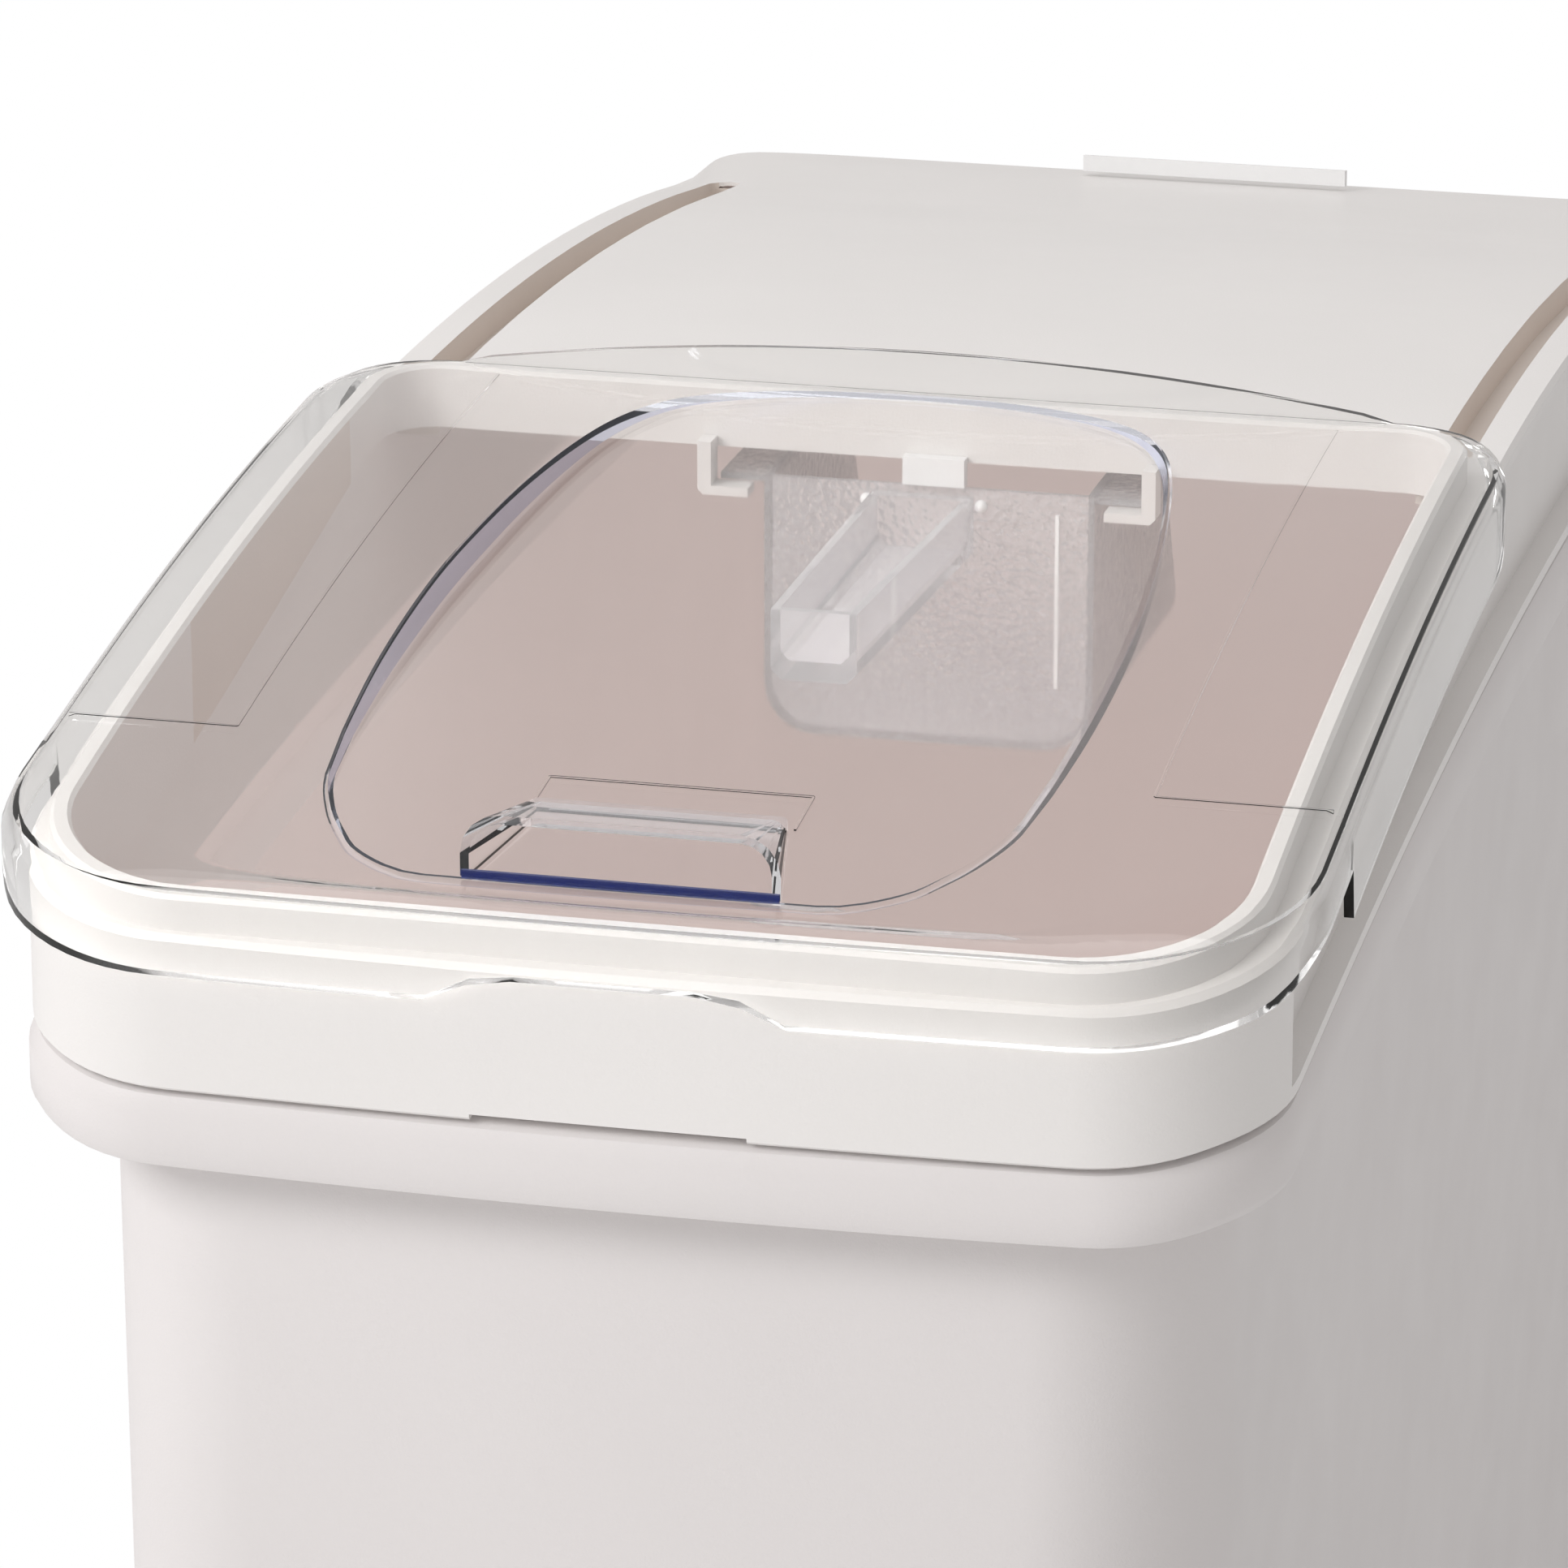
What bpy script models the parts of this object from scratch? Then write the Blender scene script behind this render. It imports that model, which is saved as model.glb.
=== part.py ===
"""Slim wheeled pet food bin: arched lid, clear front door, hanging scoop and four casters.

The origin is on the floor under the middle of the bin, the front faces -Y and +Z is up.
"""

import math

import bmesh
import bpy
from mathutils import Matrix, Vector

# Overall size, metres
BODY_BOTTOM = 0.0983
ARCH_TOP = 0.6980
ARCH_RADIUS = 1.650
ARCH_Y = 0.010
EDGE_LEVEL = ARCH_TOP - 0.04225  # height of the arch at the front edge of the opening

# Bin
RIM_HALF = 0.1577
RIM_REAR = 0.3745
RIM_INSET = 0.0167
RIM_WALL = 0.0072
RIM_DEPTH = 0.0207
FRONT_DIP = 0.0012  # how far the seam sags across the front
WALL = 0.0032
TAPER = 0.0034

# Lid
LID_HALF = 0.1570
LID_FRONT = -0.3670
LID_REAR = 0.3740
LID_SPLIT = -0.0640
OPEN_HALF = 0.1454
OPEN_FRONT = -0.3610
OPEN_REAR = -0.0485
OPEN_RADIUS_FRONT = 0.038
OPEN_RADIUS_REAR = 0.015
DECK_DROP = 0.0085
DECK_WALL = 0.0030
RISE_START = 0.2950
RISE_END = 0.3600
RISE_SHARE = 0.90  # how much of the drop the rear end wins back
GROOVE_IN = 0.1375
GROOVE_OUT = 0.1475
GROOVE_DROP = 0.0170
GROOVE_FRONT = -0.0405
GROOVE_REAR = 0.3000
SEAM_GAP = 0.0003
LIP_DEPTH = 0.0060

# Door
DOOR_HALF = 0.1638
DOOR_FRONT = -0.3720
DOOR_REAR = -0.0440
DOOR_RADIUS_FRONT = 0.052
DOOR_RADIUS_REAR = 0.036
REAR_SHARE = 0.35  # how much of an inset the plain rear edge takes
SHEET = 0.0025
SHEET_RISE = 0.0030
DOOR_FILLET = 0.0070
LIP_HALF = 0.1310
LIP_HEIGHT = 0.0108
GRIP_HALF = 0.0392
GRIP_FRONT = -0.3575
GRIP_BACK = -0.3200
GRIP_WALL = 0.0022
WINDOW = [
    (0.0, -0.3600), (0.020, -0.3599), (0.039, -0.3596), (0.054, -0.3585), (0.067, -0.3500),
    (0.0735, -0.3410), (0.081, -0.3260), (0.0865, -0.3060), (0.0895, -0.2680), (0.0905, -0.2350),
    (0.0900, -0.1980), (0.0880, -0.1680), (0.0850, -0.1380), (0.0805, -0.1090), (0.0750, -0.0870),
    (0.0670, -0.0710), (0.0560, -0.0610), (0.0390, -0.0541), (0.0200, -0.0505), (0.0, -0.0492),
]

# Scoop, its heights measured from the opening's edge
SCOOP_X = 0.0035
SCOOP_FRONT = -0.0515
SCOOP_TOP = 0.0180
SCOOP_LOW = -0.0540
SCOOP_HALF = 0.0455
SCOOP_LENGTH = 0.118
SCOOP_WALL = 0.0020
SCOOP_RADIUS = 0.0140
SCOOP_LEAN = 0.030  # how far the far edge leans forward from floor to rim
HANDLE_TIP = -0.1500

# Casters
WHEEL_RADIUS = 0.038
TYRE_INNER = 0.0305
WHEEL_HALF = 0.0125
BORE_RADIUS = 0.0055
AXLE_RADIUS = 0.0050
CASTER_X = 0.090
SWIVEL_Y = -0.245
RIGID_Y = 0.262
TRAIL = 0.026
PLATE_TOP = 0.0980
PLATE_HALF_X = 0.029
PLATE_HALF_Y = 0.040
PLATE_THICK = 0.0025
BOLT_X = 0.020
BOLT_Y = 0.031
LEG_INNER = 0.0148
LEG_THICK = 0.0026

FRONT_STEPS, CORNER_STEPS, SIDE_STEPS, TAIL_STEPS, REAR_STEPS = 4, 6, 9, 6, 4


def clear_scene():
    for obj in list(bpy.data.objects):
        bpy.data.objects.remove(obj)


def material(name, color, roughness, transmission=0.0, metallic=0.0):
    mat = bpy.data.materials.new(name)
    mat.use_nodes = True
    shader = mat.node_tree.nodes["Principled BSDF"]
    shader.inputs["Base Color"].default_value = (*color, 1.0)
    shader.inputs["Roughness"].default_value = roughness
    shader.inputs["Metallic"].default_value = metallic
    shader.inputs["Transmission Weight"].default_value = transmission
    return mat


def mesh_object(name, points, faces, mat):
    mesh = bpy.data.meshes.new(name)
    mesh.from_pydata(points, [], faces)
    work = bmesh.new()
    work.from_mesh(mesh)
    bmesh.ops.remove_doubles(work, verts=work.verts, dist=1e-6)
    bmesh.ops.recalc_face_normals(work, faces=work.faces)
    work.to_mesh(mesh)
    work.free()
    mesh.materials.append(mat)
    obj = bpy.data.objects.new(name, mesh)
    bpy.context.collection.objects.link(obj)
    mesh.shade_smooth()
    mesh.set_sharp_from_angle(angle=math.radians(35))
    return obj


def boolean(target, cutter, operation):
    mod = target.modifiers.new(operation.lower() + "_" + cutter.name, "BOOLEAN")
    mod.operation = operation
    mod.solver = "EXACT"
    mod.object = cutter
    cutter.hide_render = True
    cutter.display_type = "WIRE"


def put_origin(obj, point):
    obj.data.transform(Matrix.Translation(-Vector(point)))
    obj.location = point


# Surfaces

def arch(y):
    return ARCH_TOP - ARCH_RADIUS + math.sqrt(ARCH_RADIUS**2 - (y - ARCH_Y) ** 2)


def seam(y):
    return EDGE_LEVEL - 0.0213 - (y - 0.059) ** 2 / 6.6 - FRONT_DIP * ease(-y, 0.350, 0.368)


def ease(value, low, high):
    t = min(max((value - low) / (high - low), 0.0), 1.0)
    return t * t * (3 - 2 * t)


def deck(y):
    return arch(y) - DECK_DROP * (1 - RISE_SHARE * ease(y, RISE_START, RISE_END))


def skirt_low(y):
    return EDGE_LEVEL + min(-0.0362 + 0.212 * (y - OPEN_FRONT), 0.0245)


def sheet(y):
    return arch(y) + SHEET_RISE + 0.0033 * max(0.0, (-0.280 - y) / 0.080) ** 2


def window_plane(y):
    return EDGE_LEVEL + 0.0080 + 0.1186 * (y + 0.347)


# Outlines: half an outline runs from the middle of the front to the middle of the rear

def corner(cx, cy, radius, start):
    points = []
    for i in range(1, CORNER_STEPS + 1):
        angle = math.radians(start + 90 * i / CORNER_STEPS)
        points.append((cx + radius * math.cos(angle), cy + radius * math.sin(angle)))
    return points


def line(start, end, steps):
    return [
        (start[0] + (end[0] - start[0]) * i / steps, start[1] + (end[1] - start[1]) * i / steps)
        for i in range(1, steps + 1)
    ]


def bowed(points, half, bow, front):
    """Front edge points pushed forward by bow in the middle, fading out at the sides."""
    out = []
    for x, y in points:
        share = 1 - min(abs(x) / half, 1.0) ** 2
        out.append((x, y - bow * share if y < front + 0.06 else y))
    return out


def box_outline(half, front, rear, r_front, r_rear, short=False, bow=0.0):
    """Rounded rectangle. A short one ends near LID_SPLIT: its corner follows the side at once."""
    points = [(0.0, front)]
    points += line(points[-1], (half - r_front, front), FRONT_STEPS)
    points += corner(half - r_front, front + r_front, r_front, -90)
    points += line(points[-1], (half, LID_SPLIT), SIDE_STEPS)
    if not short:
        points += line(points[-1], (half, rear - r_rear), TAIL_STEPS)
        points += corner(half - r_rear, rear - r_rear, r_rear, 0)
        points += line(points[-1], (0.0, rear), REAR_STEPS)
    else:
        points += corner(half - r_rear, rear - r_rear, r_rear, 0)
        points += line(points[-1], (0.0, rear), TAIL_STEPS + REAR_STEPS)
    return bowed(points, half, bow, front)


def blend(first, second, share):
    return [
        (a[0] + (b[0] - a[0]) * share, a[1] + (b[1] - a[1]) * share)
        for a, b in zip(first, second)
    ]


def ring(outline, height):
    """Closed ring of points: the half outline, then its mirror image back to the start."""
    heights = [height(x, y) for x, y in outline]
    half = [(x, y, z) for (x, y), z in zip(outline, heights)]
    return half + [(-x, y, z) for x, y, z in reversed(half[1:-1])]


def level(z):
    return lambda x, y: z


def above(curve, rise):
    return lambda x, y: curve(y) + rise


def band_faces(count, first, second):
    return [
        (first + i, first + (i + 1) % count, second + (i + 1) % count, second + i)
        for i in range(count)
    ]


def cap_faces(loop, start):
    """Strips between the two mirrored halves, so that a cap can follow the arch."""
    count = len(loop)
    middle = count // 2
    first, last = 0, middle
    while abs(loop[first + 1][1] - loop[0][1]) < 1e-7:
        first += 1
    while abs(loop[last - 1][1] - loop[middle][1]) < 1e-7:
        last -= 1
    front = list(range(first + 2)) + list(range(count - first - 1, count))
    rear = list(range(last - 1, count - last + 2))
    faces = [tuple(start + i for i in front), tuple(start + i for i in rear)]
    for i in range(first + 1, last - 1):
        faces.append((start + i, start + i + 1, start + count - i - 1, start + count - i))
    return faces


def loft(name, rings, mat, closed=False):
    count = len(rings[0])
    points = [point for loop in rings for point in loop]
    faces = []
    for i in range(len(rings) - 1):
        faces += band_faces(count, i * count, (i + 1) * count)
    if closed:
        faces += band_faces(count, (len(rings) - 1) * count, 0)
    else:
        faces += cap_faces(rings[0], 0)
        faces += cap_faces(rings[-1], (len(rings) - 1) * count)
    return mesh_object(name, points, faces, mat)


def arched_bar(name, x_low, x_high, y_low, y_high, low, high, mat, steps=12):
    """Bar along Y whose underside and top follow the curves low(y) and high(y)."""
    points = []
    for i in range(steps + 1):
        y = y_low + (y_high - y_low) * i / steps
        points += [(x_low, y, low(y)), (x_high, y, low(y)), (x_high, y, high(y)), (x_low, y, high(y))]
    faces = [(0, 1, 2, 3), tuple(4 * steps + i for i in range(4))]
    for i in range(steps):
        faces += band_faces(4, 4 * i, 4 * i + 4)
    return mesh_object(name, points, faces, mat)


def prism(name, outline, axis, low, high, mat):
    """Flat outline pushed along X, Y or Z from low to high."""
    def place(a, b, along):
        return {"x": (along, a, b), "y": (a, along, b), "z": (a, b, along)}[axis]
    count = len(outline)
    points = [place(a, b, along) for along in (low, high) for a, b in outline]
    faces = [tuple(range(count)), tuple(range(count, 2 * count))]
    faces += band_faces(count, 0, count)
    return mesh_object(name, points, faces, mat)


def box(name, low, high, mat):
    outline = [(low[0], low[1]), (high[0], low[1]), (high[0], high[1]), (low[0], high[1])]
    return prism(name, outline, "z", low[2], high[2], mat)


def turned(name, profile, axis, center, mat, steps=20, closed=True):
    """Profile of (radius, distance along the axis) turned round the axis through center."""
    def place(radius, along, angle):
        a, b = radius * math.cos(angle), radius * math.sin(angle)
        return (along, a, b) if axis == "x" else (a, b, along)
    count = len(profile)
    points, faces = [], []
    for i in range(steps):
        angle = 2 * math.pi * (i + 0.5) / steps
        points += [Vector(center) + Vector(place(r, d, angle)) for r, d in profile]
    for i in range(steps):
        here, there = i * count, ((i + 1) % steps) * count
        for j in range(count if closed else count - 1):
            k = (j + 1) % count
            faces.append((here + j, here + k, there + k, there + j))
    if not closed:
        faces.append(tuple(i * count for i in range(steps)))
        faces.append(tuple(i * count + count - 1 for i in range(steps)))
    return mesh_object(name, points, faces, mat)


# Bin body

def bin_outline(inset):
    return box_outline(
        RIM_HALF - inset, -0.366 + inset, RIM_REAR - inset, 0.043, 0.043, bow=0.0055
    )


def make_bin(mat):
    base = RIM_INSET + TAPER
    inner = RIM_INSET + WALL
    bottom = BODY_BOTTOM
    sections = [
        (base + 0.0090, level(bottom)),
        (base + 0.0026, level(bottom + 0.0020)),
        (base, level(bottom + 0.0085)),
        (RIM_INSET, above(seam, -RIM_DEPTH)),
        (0.0040, above(seam, -RIM_DEPTH)),
        (0.0011, above(seam, -RIM_DEPTH + 0.0012)),
        (0.0, above(seam, -RIM_DEPTH + 0.0040)),
        (0.0, above(seam, -0.0060)),
        (0.0017, above(seam, -0.0018)),
        (0.0058, above(seam, 0.0)),
        (RIM_WALL, above(seam, 0.0)),
        (RIM_WALL, above(seam, -RIM_DEPTH + WALL)),
        (inner, above(seam, -RIM_DEPTH + WALL)),
        (base + WALL, level(bottom + 0.0120)),
        (base + WALL + 0.0085, level(bottom + WALL)),
    ]
    rings = [ring(bin_outline(inset), height) for inset, height in sections]
    return loft("bin_body", rings, mat)


# Lid frame

def lid_outline(inset):
    return box_outline(
        LID_HALF - inset, LID_FRONT + inset, LID_REAR - inset, 0.046, 0.042, bow=0.0035
    )


def opening_outline(grow):
    return box_outline(
        OPEN_HALF + grow, OPEN_FRONT - grow, OPEN_REAR + grow,
        OPEN_RADIUS_FRONT + grow, OPEN_RADIUS_REAR + grow, short=True,
    )


def pocket_height(x, y):
    """Underside of the lid: under the deck at the rear, just above the coaming's edge elsewhere."""
    share = ease(y, -0.063, -0.047)
    return (skirt_low(y) + 0.003) * (1 - share) + (deck(y) - DECK_WALL) * share


def make_lid(mat):
    edge = lid_outline(0.0012)
    coaming = opening_outline(0.0052)
    rings = [
        ring(opening_outline(0.0), lambda x, y: skirt_low(y)),
        ring(opening_outline(0.0), above(arch, -0.0010)),
        ring(opening_outline(0.0010), above(arch, 0.0)),
        ring(opening_outline(0.0042), above(arch, 0.0)),
        ring(coaming, above(arch, -0.0010)),
        ring(coaming, above(deck, 0.0)),
    ]
    for share in (0.16, 0.33, 0.50, 0.67, 0.84):
        rings.append(ring(blend(coaming, edge, share), above(deck, 0.0)))
    lip_outer = box_outline(0.1499, -0.3582, 0.3667, 0.0430, 0.0430, bow=0.0055)
    lip_inner = box_outline(0.1470, -0.3553, 0.3638, 0.0405, 0.0405, bow=0.0055)
    inner = box_outline(0.1470, -0.3634, 0.3638, 0.0386, 0.0330)
    web = box_outline(
        OPEN_HALF + 0.0013, OPEN_FRONT - 0.0013, OPEN_REAR + 0.0028, 0.0385, 0.0170, short=True
    )
    rings += [
        ring(edge, above(deck, 0.0)),
        ring(lid_outline(0.0), above(deck, -0.0014)),
        ring(lid_outline(0.0), above(seam, SEAM_GAP + 0.0008)),
        ring(lid_outline(0.0008), above(seam, SEAM_GAP)),
        ring(lip_outer, above(seam, SEAM_GAP)),
        ring(lip_outer, above(seam, -LIP_DEPTH)),
        ring(lip_inner, above(seam, -LIP_DEPTH)),
        ring(inner, pocket_height),
    ]
    for share in (0.25, 0.5, 0.75):
        rings.append(ring(blend(inner, web, share), pocket_height))
    rings.append(ring(web, pocket_height))
    rings.append(ring(web, lambda x, y: skirt_low(y) + 0.0004))
    lid = loft("lid_frame", rings, mat, closed=True)
    for side in (-1, 1):
        add_groove(lid, side, mat)
    for side in (-1, 1):
        cut_recess(lid, side, mat)
    edge = seam(LID_FRONT)
    notch = box("cut_notch", (-0.034, -0.380, edge - 0.001), (0.034, -0.3665, edge + 0.0016), mat)
    boolean(lid, notch, "DIFFERENCE")
    return lid


def add_groove(lid, side, mat):
    tag = "left" if side < 0 else "right"
    edges = sorted((side * (GROOVE_IN - 0.003), side * (GROOVE_OUT + 0.0012)))
    trough = arched_bar(
        "add_trough_" + tag, *edges, -0.0468, 0.3030,
        lambda y: arch(y) - GROOVE_DROP - DECK_WALL, lambda y: arch(y) - DECK_DROP - 0.0012, mat,
    )
    boolean(lid, trough, "UNION")
    middle = side * (GROOVE_IN + GROOVE_OUT) / 2
    half = (GROOVE_OUT - GROOVE_IN) / 2
    slot = grooved_slot("cut_groove_" + tag, middle, half, mat)
    boolean(lid, slot, "DIFFERENCE")


def grooved_slot(name, middle, half_width, mat):
    """Rounded-end slot along the arch, built from cross strips so that its floor is curved."""
    stations = []
    for i in range(12):
        y = GROOVE_FRONT + (GROOVE_REAR - half_width - GROOVE_FRONT) * i / 11
        stations.append((y, half_width))
    for angle in (35, 62, 84):
        reach = half_width * math.sin(math.radians(angle))
        stations.append((GROOVE_REAR - half_width + reach, half_width * math.cos(math.radians(angle))))
    points = []
    for y, half in stations:
        low, high = arch(y) - GROOVE_DROP, arch(y) + 0.006
        points += [
            (middle - half, y, low), (middle + half, y, low),
            (middle + half, y, high), (middle - half, y, high),
        ]
    last = len(stations) - 1
    faces = [(0, 1, 2, 3), tuple(4 * last + i for i in range(4))]
    for i in range(last):
        faces += band_faces(4, 4 * i, 4 * i + 4)
    return mesh_object(name, points, faces, mat)


def cut_recess(lid, side, mat):
    tag = "left" if side < 0 else "right"
    cutter = arched_bar(
        "cut_recess_" + tag, *sorted((side * 0.1503, side * 0.1700)), -0.3280, 0.3250,
        lambda y: seam(y) + SEAM_GAP + 0.0040, lambda y: arch(y) - 0.0130, mat,
    )
    boolean(lid, cutter, "DIFFERENCE")


# Clear door

def door_half_outline(inset):
    """The door's outline, with its side points spread over the door's own length."""
    half, front, rear = DOOR_HALF - inset, DOOR_FRONT + inset, DOOR_REAR - inset * REAR_SHARE
    radius_front, radius_rear = DOOR_RADIUS_FRONT, DOOR_RADIUS_REAR
    points = [(0.0, front)]
    points += line(points[-1], (half - radius_front, front), FRONT_STEPS)
    points += corner(half - radius_front, front + radius_front, radius_front, -90)
    points += line(points[-1], (half, -0.2925), 1)
    points += line(points[-1], (half, -0.2905), 1)
    points += line(points[-1], (half, rear - radius_rear), SIDE_STEPS - 1)
    points += corner(half - radius_rear, rear - radius_rear, radius_rear, 0)
    points += line(points[-1], (0.0, rear), TAIL_STEPS)
    return bowed(points, half, 0.0025, front)


def window_outline(grow):
    """The window's outline with one point in the direction of each point of the door's outline."""
    middle = -0.205
    outer = door_half_outline(0.0)
    directions = [math.atan2(x / DOOR_HALF, (y - middle) / 0.165) for x, y in outer]
    angles = [math.atan2(x / 0.0905, (y - middle) / 0.1555) for x, y in WINDOW]
    points = []
    for direction in directions:
        points.append(window_point(direction, angles))
    out = []
    for x, y in points:
        length = math.hypot(x, y - middle)
        out.append((x + grow * x / length, y + grow * (y - middle) / length))
    out[0] = (0.0, out[0][1])
    out[-1] = (0.0, out[-1][1])
    return out


def window_point(direction, angles):
    """Where one direction from the window's middle meets the smooth curve through WINDOW."""
    mirrored = [(-x, y) for x, y in WINDOW]
    for i in range(len(WINDOW) - 1):
        high, low = angles[i], angles[i + 1]
        if low <= direction <= high:
            before = WINDOW[i - 1] if i > 0 else mirrored[1]
            after = WINDOW[i + 2] if i + 2 < len(WINDOW) else mirrored[-2]
            share = (high - direction) / (high - low)
            return tuple(
                spline(*values, share) for values in zip(before, WINDOW[i], WINDOW[i + 1], after)
            )
    return WINDOW[0]


def spline(a, b, c, d, t):
    """Smooth value between b and c at t, with a and d as their outer neighbours."""
    return b + 0.5 * t * (c - a + t * (2 * a - 5 * b + 4 * c - d + t * (3 * b - a - 3 * c + d)))


def edge_share(x, y):
    """1 where the door's edge turns down into a skirt, falling to 0 along its plain rear edge."""
    return 1 - ease(y, -0.085, -0.048)


def skirt_drop(x, y):
    """How far the skirt's lower edge is below the arch."""
    if y > -0.2915:
        return 0.0240 * edge_share(x, y) - (SHEET_RISE - SHEET) * (1 - edge_share(x, y))
    return 0.0110 + 0.0050 * ease(-y, 0.325, 0.352)


def skirt_edge(x, y):
    low = arch(y) - skirt_drop(x, y)
    if y < -0.36:
        low += 0.0065 * ease(0.040 - abs(x), 0.0, 0.010)
    return low


def make_door(mat):
    bend = DOOR_FILLET
    inside = bend - SHEET
    shoulder = door_half_outline(bend)
    rim = window_outline(0.0)
    rings = [
        ring(window_outline(-0.0016), lambda x, y: window_plane(y)),
        ring(rim, lambda x, y: max(sheet(y), window_plane(y) + 0.0003)),
    ]
    for share in (0.33, 0.67):
        rings.append(ring(blend(rim, shoulder, share), above(sheet, 0.0)))
    rings += [
        ring(shoulder, above(sheet, 0.0)),
        lowered(door_half_outline(bend * 0.29), 0.29 * bend),
        lowered(door_half_outline(0.0), bend),
        ring(door_half_outline(0.0), skirt_edge),
        ring(door_half_outline(SHEET), skirt_edge),
        lowered(door_half_outline(SHEET), SHEET + inside, SHEET),
        lowered(door_half_outline(SHEET + inside * 0.29), SHEET + 0.29 * inside, SHEET),
        ring(door_half_outline(SHEET + inside), above(sheet, -SHEET)),
    ]
    under = window_outline(0.0014)
    for share in (0.67, 0.33):
        rings.append(ring(blend(under, door_half_outline(SHEET + inside), share), above(sheet, -SHEET)))
    rings += [
        ring(under, lambda x, y: max(sheet(y), window_plane(y) + 0.0003) - SHEET),
        ring(window_outline(0.0007), lambda x, y: window_plane(y) - SHEET),
    ]
    door = loft("clear_door", rings, mat)
    boolean(door, rear_lip(mat), "UNION")
    grip = hood_solid("add_grip", 0.0, mat)
    boolean(grip, hood_solid("cut_grip", GRIP_WALL, mat), "DIFFERENCE")
    boolean(door, grip, "UNION")
    return door


def lowered(outline, drop, least=0.0):
    """Ring below the sheet by drop where there is a skirt, and by least along the rear edge."""
    def height(x, y):
        share = edge_share(x, y)
        return sheet(y) - drop * share - least * (1 - share) - 0.0006 * (1 - share) * (least == 0.0)
    return ring(outline, height)


def rear_lip(mat):
    base = sheet(DOOR_REAR) - 0.0012
    outline = [(-LIP_HALF, base), (LIP_HALF, base)]
    for i in range(1, 24):
        x = LIP_HALF * (1 - 2 * i / 24)
        outline.append((x, sheet(DOOR_REAR) + LIP_HEIGHT * (1 - (x / LIP_HALF) ** 2)))
    return prism("add_lip", outline, "y", DOOR_REAR - 0.0030, DOOR_REAR - 0.0005, mat)


def hood_outline(half, low, high, radius):
    points = [(-half, low), (half, low)]
    for i in range(5):
        angle = math.radians(90 * i / 4)
        points.append((half - radius + radius * math.cos(angle), high - radius + radius * math.sin(angle)))
    return points + [(-x, z) for x, z in reversed(points[2:])]


def hood_solid(name, inset, mat):
    """Raised grip, open to the front: the solid, or with an inset the hollow inside it."""
    front = GRIP_FRONT - (0.004 if inset else 0.0)
    back = GRIP_BACK - inset * 2
    sink = 0.0040 if inset else 0.0012
    low_front, low_back = window_plane(front) - sink, window_plane(back) - sink
    near = hood_outline(GRIP_HALF - inset, low_front, EDGE_LEVEL + 0.0225 - inset, 0.0100 - inset)
    far = hood_outline(0.0315 - inset, low_back, EDGE_LEVEL + 0.0150 - inset * 0.9, 0.0012)
    count = len(near)
    points = [(x, front, z) for x, z in near] + [(x, back, z) for x, z in far]
    faces = [tuple(range(count)), tuple(range(count, 2 * count))] + band_faces(count, 0, count)
    return mesh_object(name, points, faces, mat)


# Fittings on the lid

def make_stop(mat):
    return arched_bar(
        "rear_stop", -0.0417, 0.0417, 0.3570, 0.3605,
        lambda y: deck(y) + SEAM_GAP, lambda y: arch(y) + 0.0045, mat, steps=1,
    )


def make_hook(side, mat):
    """Hook on the lid's inner lip that carries one flange of the scoop."""
    tag = "left" if side < 0 else "right"
    low, high = EDGE_LEVEL + 0.0128, EDGE_LEVEL + 0.0275
    outline = [
        (0.0490, low), (0.0615, low), (0.0630, low + 0.0015), (0.0630, high), (0.0592, high),
        (0.0592, low + 0.0025), (0.0490, low + 0.0025),
    ]
    points = [(SCOOP_X + side * x, z) for x, z in outline]
    return prism("scoop_hook_" + tag, points, "y", OPEN_REAR - 0.0075, OPEN_REAR - SEAM_GAP, mat)


def make_catch(mat):
    return box(
        "scoop_catch", (SCOOP_X - 0.0070, OPEN_REAR - 0.0042, EDGE_LEVEL + SCOOP_TOP + 0.0005),
        (SCOOP_X + 0.0100, OPEN_REAR - SEAM_GAP, EDGE_LEVEL + 0.0262), mat,
    )


# Scoop

def scoop_section(inset):
    """Half of a U section: from the middle of the floor out and up to the rim."""
    half, low = SCOOP_HALF - inset, SCOOP_LOW + inset
    radius = SCOOP_RADIUS - inset
    points = [(0.0, low), (half * 0.5, low)]
    for i in range(7):
        angle = math.radians(-90 + 15 * i)
        points.append((half - radius + radius * math.cos(angle), low + radius + radius * math.sin(angle)))
    points.append((half, SCOOP_TOP - 0.020))
    return points


def make_scoop(mat):
    """Deep open scoop: a U trough closed at the handle end and open at the far end."""
    bowl = scoop_trough("scoop", 0.0, mat)
    hollow = scoop_trough("cut_scoop", SCOOP_WALL, mat)
    boolean(bowl, hollow, "DIFFERENCE")
    for side in (-1, 1):
        low = EDGE_LEVEL + SCOOP_TOP - 0.0022
        tag = "left" if side < 0 else "right"
        x_low, x_high = sorted((SCOOP_X + side * (SCOOP_HALF - 0.0010), SCOOP_X + side * 0.0580))
        flange = box(
            "add_flange_" + tag, (x_low, SCOOP_FRONT + 0.0006, low),
            (x_high, SCOOP_FRONT + 0.0600, low + 0.0018), mat,
        )
        boolean(bowl, flange, "UNION")
    boolean(bowl, handle_solid("add_handle", mat), "UNION")
    boolean(bowl, handle_channel("cut_handle", mat), "DIFFERENCE")
    return bowl


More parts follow.
